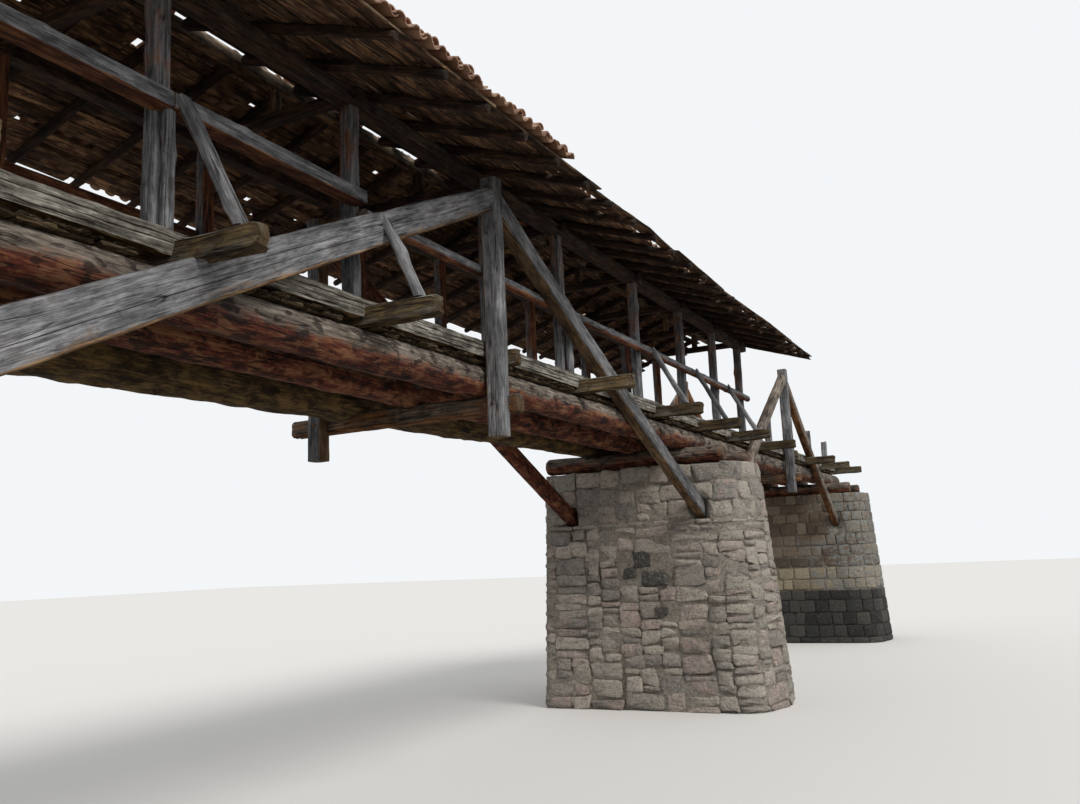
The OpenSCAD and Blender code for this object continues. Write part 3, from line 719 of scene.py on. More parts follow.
pierLooks = {
    "middlePier": {
        **rubblePier, "x": pierPlaces[1], "seed": 3, "sets": 16, "core": (70, 150), "pockets": (0.0, 2.2),
        # dark blocks on the left face: y, z, width and height
        "blocks": (
            (-0.43, 2.42, 0.55, 0.3), (-0.15, 2.77, 0.44, 0.32), (0.06, 2.53, 0.28, 0.2),
            (-0.54, 1.82, 0.21, 0.2),
        ),
    },
    "eastPier": {
        **rubblePier, "x": pierPlaces[2], "seed": 8, "sets": 10, "core": (30, 90), "pockets": (0.0,),
        "slot": "ashlar_stone", "stone": "ashlarStone", "bands": ashlar,
        "joint": (0.004, 0.008), "uneven": 0.012, "tilt": 0.005, "jitter": 0.006, "rough": 0.006,
        "broken": 0.012, "deep": (0.012, 0.03),
    },
    "westPier": {
        **rubblePier, "x": pierPlaces[0], "seed": 12, "sets": 12, "core": (36, 80), "pockets": (2.2,),
    },
}


def pierOutline(low):
    # the outside of five circles: for each direction, the circle that reaches furthest that way
    plan = pierPlan
    lean, nose, big, small = plan["lean"] * low, plan["nose"] * low, plan["corner"], plan["farCorner"]
    yNear = -yTruss - plan["near"] - nose
    yFar = yTruss + plan["far"] + lean
    left, right = -lean, plan["thick"] + lean
    circles = np.array([
        (left + small, yFar - small, small),
        (right - small, yFar - small, small),
        (left + big, yNear + big, big),
        (right - big, yNear + big, big),
        (plan["thick"] / 2, yNear + big * 2 - plan["bulge"], big * 2),
    ])
    turn = np.radians(np.arange(0, 720) / 2 + 45.25)
    way = np.stack([np.cos(turn), np.sin(turn)], -1)
    reach = circles[:, :2] @ way.T + circles[:, 2:]
    best = reach.argmax(0)
    return circles[best, :2] + circles[best, 2:] * way, way


def pierTable():
    # Outlines at even heights, top + (foot - top) * low, each measured anew along three stretches: the far
    # face, the left side with half the nose, and the right side with the rest. Gives x, y and the outward
    # direction.
    topLine, way = pierOutline(0)
    footLine, _ = pierOutline(1)
    found = []
    for low in np.linspace(0, 1, pierPlan["slices"] + 1):
        line = np.hstack([topLine + (footLine - topLine) * low, way])
        line = np.vstack([line, line[:1]])
        far = fromStart(line[:, :2])
        stops = far[[0, 180, 450, 720]]
        parts = zip(stops[:-1], stops[1:], pierPlan["columns"])
        at = np.concatenate([np.linspace(a, b, n, endpoint=False) for a, b, n in parts] + [stops[-1:]])
        found.append(np.stack([np.interp(at, far, line[:, k]) for k in range(4)], -1))
    return np.array(found)


def fillBand(random, girth, low, high, talls, wides):
    # Stones set from the bottom up: each goes into the lowest gap, as wide as chance says or as wide as the
    # gap, until the band is full. Gives left, right, bottom and top of each.
    cells = 420
    level = np.full(cells, low)
    found = []
    while level.min() < high - 0.001:
        first = int(level.argmin())
        last = first + 1
        while last < cells and abs(level[last] - level[first]) < 0.001:
            last += 1
        room = (last - first) * girth / cells
        wide = random.uniform(*wides)
        take = last - first if room < wide + wides[0] else int(wide / girth * cells)
        bottom = level[first]
        top = bottom + random.choice(talls)
        beside = [level[k] for k in (first - 1, last) if 0 <= k < cells]
        if room < 0.7 * wides[0] and beside:
            top = min(beside)
        top = high if top > high - 0.7 * min(talls) else top
        level[first:first + take] = top
        found.append((first * girth / cells, (first + take) * girth / cells, bottom, top))
    return found


# rings of a stone: how far out of the face, how far in from its edge, and how much of it is left
stoneRings = (
    (-0.12, 0.012, 1.0), (-0.03, 0.0, 1.0), (-0.003, 0.005, 1.0), (0.003, 0.014, 0.82),
    (0.006, 0.014, 0.45), (0.007, 0.014, 0.0),
)


def masonry(pier):
    # Stones: rings of a rounded square, sign(cos t)|cos t|^0.26 by sign(sin t)|sin t|^0.26, stretched to the
    # stone's own four corners and set behind, at, and within its face, less the broken corners
    # f * max(0, g.(a, b) - c). Core: the same plan, pushed in by noise.
    look = pierLooks[pier]
    seed = look["seed"]
    random = np.random.default_rng(seed)
    table = pierTable()
    slices, columns = table.shape[:2]
    way = fromStart(table[slices // 2, :, :2])
    girth = way[-1]

    def onFace(u, z, out):
        # a point of the pier by its way round, its height and how far out of the face it is
        column = np.interp(u % girth, way, np.arange(columns))
        row = np.clip(1 - z / pierTop, 0, 1) * (slices - 1)
        i = np.minimum(row.astype(int), slices - 2)
        j = np.minimum(column.astype(int), columns - 2)
        p, q = (row - i)[..., None], (column - j)[..., None]
        upper = table[i, j] * (1 - q) + table[i, j + 1] * q
        lower = table[i + 1, j] * (1 - q) + table[i + 1, j + 1] * q
        at = upper * (1 - p) + lower * p
        ahead = at[..., 2:] / np.linalg.norm(at[..., 2:], axis=-1, keepdims=True)
        flat = at[..., :2] + ahead * out[..., None]
        return np.concatenate([flat + (look["x"], 0), z[..., None]], -1)

    marks = np.cumsum([0] + [band[0] for band in look["bands"]])
    marks = pierTop - marks * pierTop / marks[-1]
    found = []
    for number, (_, heights, wides) in enumerate(look["bands"]):
        found += fillBand(random, girth, marks[number + 1], marks[number], heights, wides)
    left, right, bottom, top = np.array(found).T
    midU, midZ = (left + right) / 2, (bottom + top) / 2
    halfU, halfZ = (right - left) / 2, (top - bottom) / 2

    # no stone where a strut's foot goes in, or where a dark block takes its place
    centre = onFace(midU, midZ, np.zeros_like(midU))
    keep = np.ones(len(midU), bool)
    pockets = [(look["x"] + x, side * yTruss) for x in look["pockets"] for side in (-1, 1)]
    for x, y in pockets:
        near = (np.abs(centre[:, 0] - x) < 0.35) & (np.abs(centre[:, 1] - y) < 0.1 + 0.5 * halfU)
        keep &= ~(near & (np.abs(midZ - strutFoot) < 0.16 + 0.5 * halfZ))
    leftSide = way[pierPlan["columns"][0]:sum(pierPlan["columns"][:2])]
    blocks = []
    for y, z, wide, tall in look["blocks"]:
        line = onFace(leftSide, np.full_like(leftSide, z), np.zeros_like(leftSide))[:, 1]
        u = np.interp(-y, -line, leftSide)
        keep &= ~((np.abs(midU - u) < wide / 2 + 0.3 * halfU) & (np.abs(midZ - z) < tall / 2 + 0.3 * halfZ))
        blocks.append((u, z, wide / 2, tall / 2))
    blocks = np.array(blocks).reshape(-1, 4).T
    dark = np.concatenate([np.zeros(keep.sum()), np.ones(blocks.shape[1])])
    own = zip((midU, midZ, halfU, halfZ), blocks)
    midU, midZ, halfU, halfZ = (np.concatenate([values[keep], more]) for values, more in own)

    count, around = len(midU), look["sets"]
    turn = (np.arange(around) + 0.5) / around * 2 * np.pi
    a, b = (np.sign(v) * np.abs(v) ** 0.26 for v in (np.cos(turn), np.sin(turn)))
    free = np.minimum(look["jitter"], 0.36 * np.minimum(halfU, halfZ))[:, None]
    joint = random.uniform(*look["joint"], (count, 1))
    corners = np.array([(-1, -1), (1, -1), (1, 1), (-1, 1)])
    weight = (1 + corners[:, :1] * a) * (1 + corners[:, 1:] * b) / 4
    moveU, moveZ = (
        (random.uniform(-1, 1, (count, 4)) * free) @ weight + free * random.normal(0, 0.22, (count, around))
        for _ in range(2)
    )
    isDark = dark[:, None] > 0
    face = np.where(isDark, 0.006, -look["uneven"] * random.random((count, 1)))
    limit = np.where(isDark, 0.012, 0.0)
    slant = random.uniform(0, 2 * np.pi, (3, count, 1))
    begins = random.uniform(0.05, 0.75, (3, count, 1))
    falls = look["broken"] * random.random((3, count, 1))
    tiltU, tiltZ = (random.uniform(-1, 1, (count, 1)) * look["tilt"] for _ in range(2))
    sheets = []
    for out, inset, scale in stoneRings:
        u = midU[:, None] + ((halfU[:, None] - joint - inset) * a + moveU) * scale
        z = midZ[:, None] + ((halfZ[:, None] - joint - inset) * b + moveZ) * scale
        slope = np.cos(slant) * a * scale + np.sin(slant) * b * scale
        push = face + out + (tiltU * a + tiltZ * b) * scale - (falls * np.maximum(slope - begins, 0)).sum(0)
        z = np.clip(z, 0.0, pierTop)
        if out > -0.1:
            push = push + look["rough"] * noise(onFace(u, z, push), (0.09, 0.09, 0.06), seed + 4, 2)
        sheets.append(onFace(u, z, np.minimum(push, limit)))
    poles = np.stack([onFace(midU, midZ, face[:, 0] - 0.11), sheets[-1].mean(1)], 1)
    points = np.concatenate([np.stack(sheets[:-1], 1).reshape(count, -1, 3), poles], 1)
    quads, tris = ringFaces(len(stoneRings) - 1, around)
    shift = (np.arange(count) * points.shape[1])[:, None, None]
    facts = np.stack([random.random(count), np.zeros(count), dark], -1)
    kind = np.repeat(facts[:, None], points.shape[1], 1)
    batch = Batch(pier + "Stones")
    batch.add(surface(points, kind, quads + shift, tris + shift))

    down, sets = look["core"]
    coreTop = pierTop - 0.03
    z, u = np.meshgrid(np.linspace(coreTop, 0, down), np.arange(sets) * girth / sets, indexing="ij")
    rough = onFace(u, z, 0 * u)
    washedOut = smooth(-0.35, 0.3, noise(rough, (0.8, 0.8, 0.5), seed + 2, 3))
    farEdge = yTruss + pierPlan["far"]  # at its corners the mortar is nearly flush
    washedOut = washedOut * smooth(farEdge + 0.05, farEdge - 0.3, rough[..., 1])
    shallow, deep = look["deep"]
    push = -shallow - (deep - shallow) * washedOut - 0.008 * (1 + noise(rough, 0.1, seed + 3))
    for x, y in pockets:
        inside = smooth(0.19, 0.13, np.abs(rough[..., 1] - y)) * smooth(0.27, 0.17, np.abs(z - strutFoot))
        push = push - 0.24 * inside * (np.abs(rough[..., 0] - x) < 0.4)
    core = onFace(u, z, push)
    centre = core[0, :, :2].mean(0)
    lid = []
    for scale in (0.35, 0.75, 0.97):
        ring = core[0].copy()
        ring[:, :2] = centre + (ring[:, :2] - centre) * scale
        ring[:, 2] = coreTop + 0.02 * noise(ring * (1, 1, 0), 0.3, seed + 5)
        lid.append(ring)
    core = np.concatenate([np.stack(lid), core])
    points = np.concatenate([core.reshape(-1, 3), [[*centre, coreTop], [*centre, 0.0]]])
    kind = np.stack([0.5 + 0.5 * noise(points, 0.4, 9), np.ones(len(points)), np.zeros(len(points))], -1)
    batch.add(surface(points, kind, *ringFaces(len(core), sets)))
    print(pier, count, "stones")
    batch.done(stones[look["stone"]], look["slot"], nodeName(pier), sharp=70)


for pier in pierLooks:
    masonry(pier)


def makePiece(name, wood, slotName, parts, *nodes):
    # a piece of wood that stands for the node of its own name, or for the nodes that are named
    batch = Batch(name)
    for part in parts:
        batch.add(part)
    batch.done(woods[wood], slotName, *(nodes or [nodeName(name)]))


# Logs: their upper side is level and hewn, with seats on the piers and the needle beams
logLook = {
    "corner": 0.3, "rough": 0.02, "lumps": (0.3, 0.12, 0.12), "swell": 0.035, "fine": 0.003, "knots": 9,
    "bow": 0.012, "brown": 0.4,
}
longBay, shortBay = (-16.54, 1.87), (1.93, 16.54)
seats = [(x + 0.035, x + 2.165, zLog) for x in pierPlaces]
for x in (0, king2 - king1):
    seats.append((needleLow.x + x - 0.03, needleHigh.x + x + 0.03, needleHigh.z))


def mainLog(bay, y, first, second, seed, changes):
    # a log from one thickness to another, flattened at the deck and at its seats
    zMiddle = zCross + 0.02
    start, end = (bay[0], y, zMiddle - first / 2), (bay[1], y, zMiddle - second / 2)
    slim = second / first
    part = timber(start, end, first, first, seed=seed, taper=(slim, slim), **{**logLook, **changes})
    points = clampTo(part, 2, None, zCross)["points"]
    for low, high, level in seats:
        seat = (points[:, 0] > low) & (points[:, 0] < high)
        points[:, 2] = np.where(seat, np.maximum(points[:, 2], level), points[:, 2])
    return clampTo(part, 1, -yInside, yInside)


# for each piece its wood, its node, and its logs: bay, y, first and last thickness, seed, and their own looks
mainLogs = {
    "longSpanLogs": ("logWood", "long_span_logs", (
        (longBay, -1.015, 0.43, 0.39, 21,
         {"rings": 250, "around": 44, "open": (-0.1, -0.55, 0.95), "knots": 18}),
        (longBay, -0.05, 0.39, 0.43, 22,
         {"rings": 200, "around": 36, "open": (-0.1, -0.3, 0.9), "knots": 14, "brown": 0.6}),
    )),
    "farLongLog": ("oliveWood", "long_span_logs", (
        (longBay, 0.9147, 0.66, 0.38, 23,
         {"rings": 180, "around": 40, "open": (-0.1, -0.2, 0.9), "brown": 0.5, "rough": 0.03}),
    )),
    "shortSpanLogs": ("logWood", "short_span_logs", (
        (shortBay, -1.015, 0.39, 0.43, 24, {"rings": 110, "around": 28}),
        (shortBay, 0.0, 0.43, 0.39, 25, {"rings": 80, "around": 24}),
        (shortBay, 1.015, 0.39, 0.43, 26, {"rings": 80, "around": 24, "open": (-0.1, 0.5, 0.85)}),
    )),
}
for name, (wood, node, logs) in mainLogs.items():
    makePiece(name, wood, "log_wood", [mainLog(*log) for log in logs], node)

soleLook = {**logLook, "rings": 56, "around": 26, "bow": 0.01, "brown": 0.25, "lip": 0.05, "round": 0.8}
parts = []
for number, x in enumerate(pierPlaces):
    for k, inward in enumerate((0.24, 1.96)):
        part = crossing(x + inward, 1.85, pierTop + 0.16, 0.35, 0.35, seed=31 + 2 * number + k, **soleLook)
        parts.append(clampTo(part, 2, pierTop, zLog))
soles = ("west_cross_logs", "middle_cross_logs", "east_cross_logs")
makePiece("pierCrossLogs", "logWood", "log_wood", parts, *soles)
print("logs made")

# Trusses: struts, king posts and needle beams
strutFit = {"wide": 0.21, "pocket": 0.13, "intoPier": 0.22, "intoKing": 0.06, "seat": 0.035}
strutLook = {"swell": 0.05, "knots": 3}
strutLooks = {
    "nearLeftStrut": {
        **strutLook, "seed": 41, "rings": 230, "around": 44, "corner": 0.035, "rough": 0.009, "bow": 0.03,
        "brown": -0.08, "wane": 0.05, "waneAt": 0.03,
        "cracks": ((0.14, 0.5, 8.0, 0.03, 0.012), (0.2, 3.0, 5.6, 0.02, 0.008)),
    },
    "nearRightStrut": {
        **strutLook, "seed": 42, "rings": 150, "around": 30, "corner": 0.05, "rough": 0.008, "bow": 0.04,
        "brown": 0.05, "cracks": ((0.62, 1.0, 6.0, 0.02, 0.01),),
    },
    "farLeftStrut": {"seed": 43, "rings": 90, "around": 24, "corner": 0.03, "bow": 0.02, "brown": 0.1},
    "farRightStrut": {"seed": 44, "rings": 90, "around": 24, "corner": 0.04, "bow": 0.02, "brown": 0.35},
    "shortStruts": {"rings": 70, "around": 20, "corner": 0.09, "bow": 0.03, "brown": 0.35},
}


def strut(xKing, span, direction, side, foot, head, look):
    # from its pocket in the pier to its seat in the king post, with its depth at either end
    fit, y = strutFit, side * yTruss
    slope = (strutHead - strutFoot) / (span / 2 + fit["pocket"] - kingWide / 2)
    high = (xKing + direction * (kingWide / 2 - fit["intoKing"]), y, strutHead + fit["intoKing"] * slope)
    drop = (fit["intoPier"] - fit["pocket"]) * slope
    low = (xKing + direction * (span / 2 + fit["intoPier"]), y, strutFoot - drop)
    look = {**look, "taper": (1.0, head / foot), "open": (-0.2, side * 0.75, 0.6)}
    part = timber(low, high, fit["wide"], foot, **look)
    seat = xKing + direction * (kingWide / 2 - fit["seat"])
    return clampTo(part, 0, None, seat) if direction < 0 else clampTo(part, 0, seat)


for truss, side in bothSides(""):
    for stem, direction, foot, head in (("LeftStrut", -1, 0.45, 0.29), ("RightStrut", 1, 0.27, 0.27)):
        name = truss + stem
        part = strut(king1, longSpan, direction, side, foot, head, strutLooks[name])
        makePiece(name, "logWood" if name == "farRightStrut" else "hewnWood", "hewn_wood", [part])
for name, side in bothSides("ShortStruts"):
    parts = []
    for direction in (-1, 1):
        look = {**strutLooks["shortStruts"], "seed": 45 + direction + 3 * side}
        parts.append(strut(king2, shortSpan, direction, side, 0.27, 0.27, look))
    makePiece(name, "beamWood", "beam_wood", parts)

kingLook = {
    "rings": 110, "around": 34, "corner": 0.045, "up": (1, 0, 0), "bow": 0.006, "rough": 0.007,
    "swell": 0.02, "knots": 3,
    "cracks": ((0.15, 0.3, 2.4, 0.02, 0.01), (0.62, 0.9, 3.0, 0.02, 0.01), (0.9, 0.1, 1.9, 0.02, 0.01)),
}
for name, side in (*bothSides("KingPostLong"), *bothSides("KingPostShort")):
    low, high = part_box(nodeName(name))
    x, y = (low.x + high.x) / 2, side * (yTruss + 0.015)
    look = {**kingLook, "seed": 51 + len(name) + side, "open": (-0.35, side * 0.85, 0.3)}
    part = timber((x, y, low.z), (x, y, high.z), 0.23, kingWide, **look)
    makePiece(name, "hewnWood", "hewn_wood", [part])

needleLook = {
    "rings": 80, "around": 28, "corner": 0.04, "rough": 0.009, "lip": 0.03, "round": 0.85, "ragged": 0.02,
    "cracks": ((0.4, 0.2, 2.6, 0.02, 0.01),), "brown": 0.35, "open": (-0.3, -0.3, 0.8),
}
pegLook = {
    "rings": 6, "around": 10, "corner": 0.012, "rough": 0.0, "fine": 0.0005, "bow": 0.0, "brown": 0.3,
}
needleNodes = ("needle_beam_long", "needle_beam_short")
needles, pegs = [], []
for number, (x, node) in enumerate(zip((king1, king2), needleNodes)):
    low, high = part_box(node)
    mid = (low + high) / 2
    start, end = (mid.x, low.y, mid.z), (mid.x, high.y, mid.z)
    needles.append(timber(start, end, 0.2, 0.24, seed=61 + number, **needleLook))
    for side in (-1, 1):
        peg = lying(x - 0.135, x + 0.275, side * yTruss, mid.z, 0.035, 0.035, seed=65 + side, **pegLook)
        pegs.append(peg)
makePiece("needleBeams", "beamWood", "beam_wood", needles, *needleNodes)
makePiece("kingPostPegs", "beamWood", "beam_wood", pegs)
print("trusses made")

# Deck: cross timbers with worn ends, boards across the logs, edge timbers on the ends of the boards
crossLook = {
    "rings": 36, "around": 24, "corner": 0.016, "bow": 0.008, "rough": 0.014, "fray": 0.02, "swell": 0.09,
    "wane": 0.045, "waneAt": 0.5, "ragged": 0.045, "knots": 3, "lip": 0.04, "round": 0.82, "endRough": 0.03,
    "brown": 0.12, "open": (-0.15, -0.25, 1.0),
}
atKingPosts = (4, 10)  # these two cross timbers stop at the king posts
parts = []
for number, x in enumerate(crossPlaces):
    reach = yTruss + (0.16 if number in atKingPosts else 0.7)
    part = crossing(king1 + x, reach, (zCross + zCrossTop) / 2, 0.2, 0.22, seed=71 + number, **crossLook)
    parts.append(part)
makePiece("crossTimbers", "deckWood", "beam_wood", parts)

deckBoardLook = {
    "rings": 6, "around": 12, "corner": 0.003, "bow": 0.003, "rough": 0.003, "endRough": 0.05, "lip": 0.003,
    "round": 0.99, "open": (0, 0, 0.9),
}
deckLayers = (  # from the logs up; "back" is how far a board's ends stop short of the deck's edge
    {"up": 0.0, "thick": (0.026, 0.042), "wide": (0.2, 0.38), "back": (0.0, 0.05), "brown": 0.5},
    {"up": 0.044, "thick": (0.012, 0.023), "wide": (0.12, 0.3), "back": (-0.018, 0.06), "brown": 0.1},
)
deckStart, deckEnd, deckEdge = king1 - 9.58, king1 + 22.8, yInside - 0.025
random = np.random.default_rng(77)
parts = []
for layer in deckLayers:
    x = deckStart
    while x < deckEnd:
        wide = random.uniform(*layer["wide"])
        thick = random.uniform(*layer["thick"])
        y0, y1 = (s * (deckEdge - random.uniform(*layer["back"])) for s in (-1, 1))
        mid, high = x + wide / 2, zCross + layer["up"] + thick / 2
        if min(abs(mid - king1 - place) for place in crossPlaces) > 0.1 + wide / 2:
            look = {**deckBoardLook, "seed": int(random.integers(100, 900)), "brown": layer["brown"]}
            parts.append(timber((mid, y0, high), (mid, y1, high), wide, thick, **look))
        x += wide + random.uniform(0.004, 0.03)
makePiece("deckBoards", "deckWood", "deck_wood", parts)

sillCuts = [-9.6, -6.9, -4.6, -2.0, 0.35, 3.3, 6.3, 9.4, 12.6, 15.8, 19.0, 22.96]
sillLook = {
    "corner": 0.02, "bow": 0.0, "rough": 0.014, "swell": 0.0, "lumps": (0.4, 0.05, 0.05), "fine": 0.005,
    "fray": 0.02, "brown": -0.2,
}
jointGap = 0.006  # half the gap between two timbers in a line
for name, side in bothSides("Sill"):
    parts = []
    for number in range(len(sillCuts) - 1):
        x0, x1 = king1 + sillCuts[number] + jointGap, king1 + sillCuts[number + 1] - jointGap
        run = x1 - x0
        look = {**sillLook, "seed": 200 + number + 20 * side, "open": (-0.3, side * 0.6, 0.8)}
        look.update(rings=int(run * (18 if side < 0 else 9)), around=30 if side < 0 else 20)
        look.update(ragged=0.075 if side < 0 else 0.05)
        if side < 0:
            look["cracks"] = (
                (0.06, 0.2, 0.7 * run, 0.03, 0.01), (0.1, 0.4 * run, run - 0.1, 0.035, 0.012),
                (0.14, 0.1, run - 0.1, 0.04, 0.016), (0.19, 0.3, 0.6 * run, 0.03, 0.01),
                (0.32, 0.2, run - 0.2, 0.03, 0.012),
            )
        parts.append(lying(x0, x1, side * 1.0847, (zSill + zFloor) / 2, 0.316, 0.216, **look))
    makePiece(name, "edgeWood", "deck_wood", parts)
print("deck made")

# Walls: posts, handrails, braces
postLook = {"corner": 0.03, "rough": 0.008, "bow": 0.01, "swell": 0.04}
wallPostLook = {**postLook, "brown": -0.1, "knots": 2}
polePostLook = {**postLook, "brown": -0.2, "knots": 2, "rings": 24, "corner": 0.05, "bow": 0.004}
parapetLook = {**postLook, "endRough": 0.03}
postWide, polePostWide = 0.158, 0.108
for name, side in bothSides("Posts"):
    look = {**wallPostLook, "open": (-0.3, side * 0.8, 0.2)}
    if side < 0:
        look.update(rings=44, around=24, cracks=((0.15, 0.2, 1.8, 0.018, 0.008),))
    else:
        look.update(rings=24, around=16)
    parts = []
    for number, x in enumerate(postPlaces):
        seed = 300 + number + 20 * side
        part = upright(king1 + x, side * yPost, zFloor, zPlate, postWide, seed=seed, **look)
        dryAndShaded = 0.35 * smooth(-0.15, 0.3, part["points"][:, 2] - handHeight)  # browner above the handrail: wood kept dry under the roof, and painted shade of the roof
        part["kind"][:, 0] = np.clip(part["kind"][:, 0] + dryAndShaded, 0, 1)
        parts.append(part)
    for number, top in ((2, handHeight - 0.078), (5, poleHeight - 0.073)):
        look = {**polePostLook, "seed": 330 + number, "open": (-0.3, side * 0.8, 0.2)}
        parts.append(upright(king1 + postPlaces[number], side * yRail, zFloor, top, polePostWide, **look))
    makePiece(name, "wallWood", "wall_wood", parts)
parts = []
for side in (-1, 1):
    for number, x in enumerate((14.9, 17.4, 19.8, 22.3)):
        top = zFloor + (0.76 + 0.11 * ((number * 2 + side + 1) % 3))
        look = {**parapetLook, "seed": 340 + number + side, "rings": 20}
        parts.append(upright(king1 + x, side * yPost, zFloor, top, postWide, **look))
makePiece("parapetPosts", "wallWood", "wall_wood", parts)

handRails = ((-9.395, -4.905), (-4.895, -2.375))
poleCuts = [-2.37, 2.56, 8.1, 12.5]
handLook = {"around": 26, "corner": 0.018, "bow": 0.004, "rough": 0.007, "brown": 0.25, "knots": 4}
poleLook = {
    "around": 20, "corner": 0.06, "bow": 0.004, "rough": 0.01, "swell": 0.05, "lumps": (0.5, 0.1, 0.1),
    "knots": 6, "brown": 0.15,
}
for name, side in bothSides("Rails"):
    dense = 1.0 if side < 0 else 0.45
    parts = []
    for number, (first, last) in enumerate(handRails):
        x0, x1 = king1 + first, king1 + last
        look = {**handLook, "seed": 360 + 2 * number + 10 * side, "open": (-0.1, side * 0.75, 0.9)}
        look.update(rings=int((x1 - x0) * 24 * dense))
        if side < 0:
            look.update(cracks=((0.1, 0.4, 1.9, 0.02, 0.01),))
        parts.append(lying(x0, x1, side * (yInside - 0.1), handHeight, 0.198, 0.148, **look))
    for number in range(len(poleCuts) - 1):
        x0, x1 = king1 + poleCuts[number] + jointGap, king1 + poleCuts[number + 1] - jointGap
        look = {**poleLook, "seed": 370 + number + 10 * side, "open": (-0.2, side * 0.5, 0.85)}
        look.update(rings=int((x1 - x0) * 22 * dense))
        parts.append(lying(x0, x1, side * yRail, poleHeight, 0.136, 0.136, **look))
    makePiece(name, "wallWood", "wall_wood", parts)

braceLook = {
    "rings": 34, "around": 22, "corner": 0.02, "bow": 0.004, "up": (1, 0, 0), "rough": 0.008, "knots": 2,
    "endRough": 0.0, "lip": 0.002, "brown": -0.15,
}


def brace(number, side, out, high, lean, seed):
    # head cut upright against what it leans on, foot cut level on its cross timber
    lean = math.radians(lean)
    x, down = king1 + crossPlaces[number], high - zCrossTop
    head = (x, side * out, high)
    foot = (x, side * (out + down * math.tan(lean)), zCrossTop)
    look = {**braceLook, "seed": seed, "open": (-0.2, side * 0.7, 0.5)}
    return timber(foot, head, 0.078, 0.138, shear=(-side * math.tan(lean), side / math.tan(lean)), **look)


for name, side in bothSides("Braces"):
    parts = [brace(k, side, yInside + 0.001, handHeight, 28, 380 + k) for k in (0, 1, 2)]
    parts += [brace(k, side, yRail + 0.071, poleHeight, 28, 380 + k) for k in (6, 7, 8)]
    parts.append(brace(3, side, yTruss + 0.1055, zFloor + 0.75, 25, 395))
    makePiece(name, "hewnWood", "wall_wood", parts)
print("walls made")

# Roof frame
plateLook = {"around": 24, "corner": 0.025, "rough": 0.007, "brown": 0.35}
tieLook = {"rings": 24, "around": 16, "corner": 0.03, "rough": 0.007, "brown": 0.4}
ridgeLook = {"seed": 430, "rings": 120, "around": 18, "corner": 0.03, "rough": 0.008, "brown": 0.4}
propLook = {"rings": 10, "around": 14, "bow": 0.004, "brown": 0.4}
rafterLook = {
    "rings": 22, "around": 14, "corner": 0.045, "bow": 0.012, "rough": 0.008, "taper": (0.85, 0.75),
    "lip": 0.03, "round": 0.8, "brown": 0.3,
}
for name, side in bothSides("Plate"):
    low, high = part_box(nodeName(name))
    look = {**plateLook, "seed": 400 + side, "rings": 160 if side < 0 else 80, "open": (0, side * 0.5, 0.8)}
    parts = [lying(low.x, high.x, side * yPost, (low.z + high.z) / 2, 0.2, 0.18, **look)]
    makePiece(name, "shadedRafterWood", "roof_wood", parts)
parts = []
for number, x in enumerate(postPlaces):
    parts.append(crossing(king1 + x, 1.178, zPlateTop - 0.065, 0.14, 0.13, seed=410 + number, **tieLook))
makePiece("tieBeams", "shadedRafterWood", "roof_wood", parts)
low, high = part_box("ridge_beam")
parts = [lying(low.x, high.x, 0, (low.z + high.z) / 2, 0.12, 0.17, **ridgeLook)]
makePiece("ridgeBeam", "roofWood", "roof_wood", parts)
low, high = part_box("ridge_props")
parts = []
for number, x in enumerate(postPlaces):
    parts.append(upright(king1 + x, 0, low.z, high.z, 0.12, seed=440 + number, **propLook))
makePiece("ridgeProps", "roofWood", "roof_wood", parts)


def onSlope(x, down, up, side):
    # X along the bridge, down the slope, and up off the rafters' underside
    y = down * math.cos(pitch) + up * math.sin(pitch)
    z = ridgeUnder - down * math.sin(pitch) + up * math.cos(pitch)
    return np.stack(np.broadcast_arrays(np.asarray(x, float), side * y, z), -1)


rafterStep = 0.8
rafterCount = int((roofEnd - roofStart - 0.36) / rafterStep) + 1
for name, side in bothSides("Rafters"):
    parts = []
    for number in range(rafterCount):
        x = roofStart + 0.23 + number * rafterStep
        top, foot = onSlope(x, 0.07, 0.06, side), onSlope(x, slopeLength - 0.005, 0.06, side)
        parts.append(timber(top, foot, 0.1, 0.12, seed=450 + number + 40 * side, **rafterLook))
    makePiece(name, "shadedRafterWood", "roof_wood", parts)

# Roof boards: long split boards, each with its own width, frayed edges and slight skew
roofBoardLook = {
    "nearRoofBoards": {"courses": 15, "fill": 1.0, "rings": 13, "around": 12, "fray": 0.07},
    "farRoofLaths": {"courses": 12, "fill": 0.93, "rings": 9, "around": 10, "fray": 0.03},
    "both": {"corner": 0.006, "bow": 0.004, "endRough": 0.06, "brown": 0.3},
}
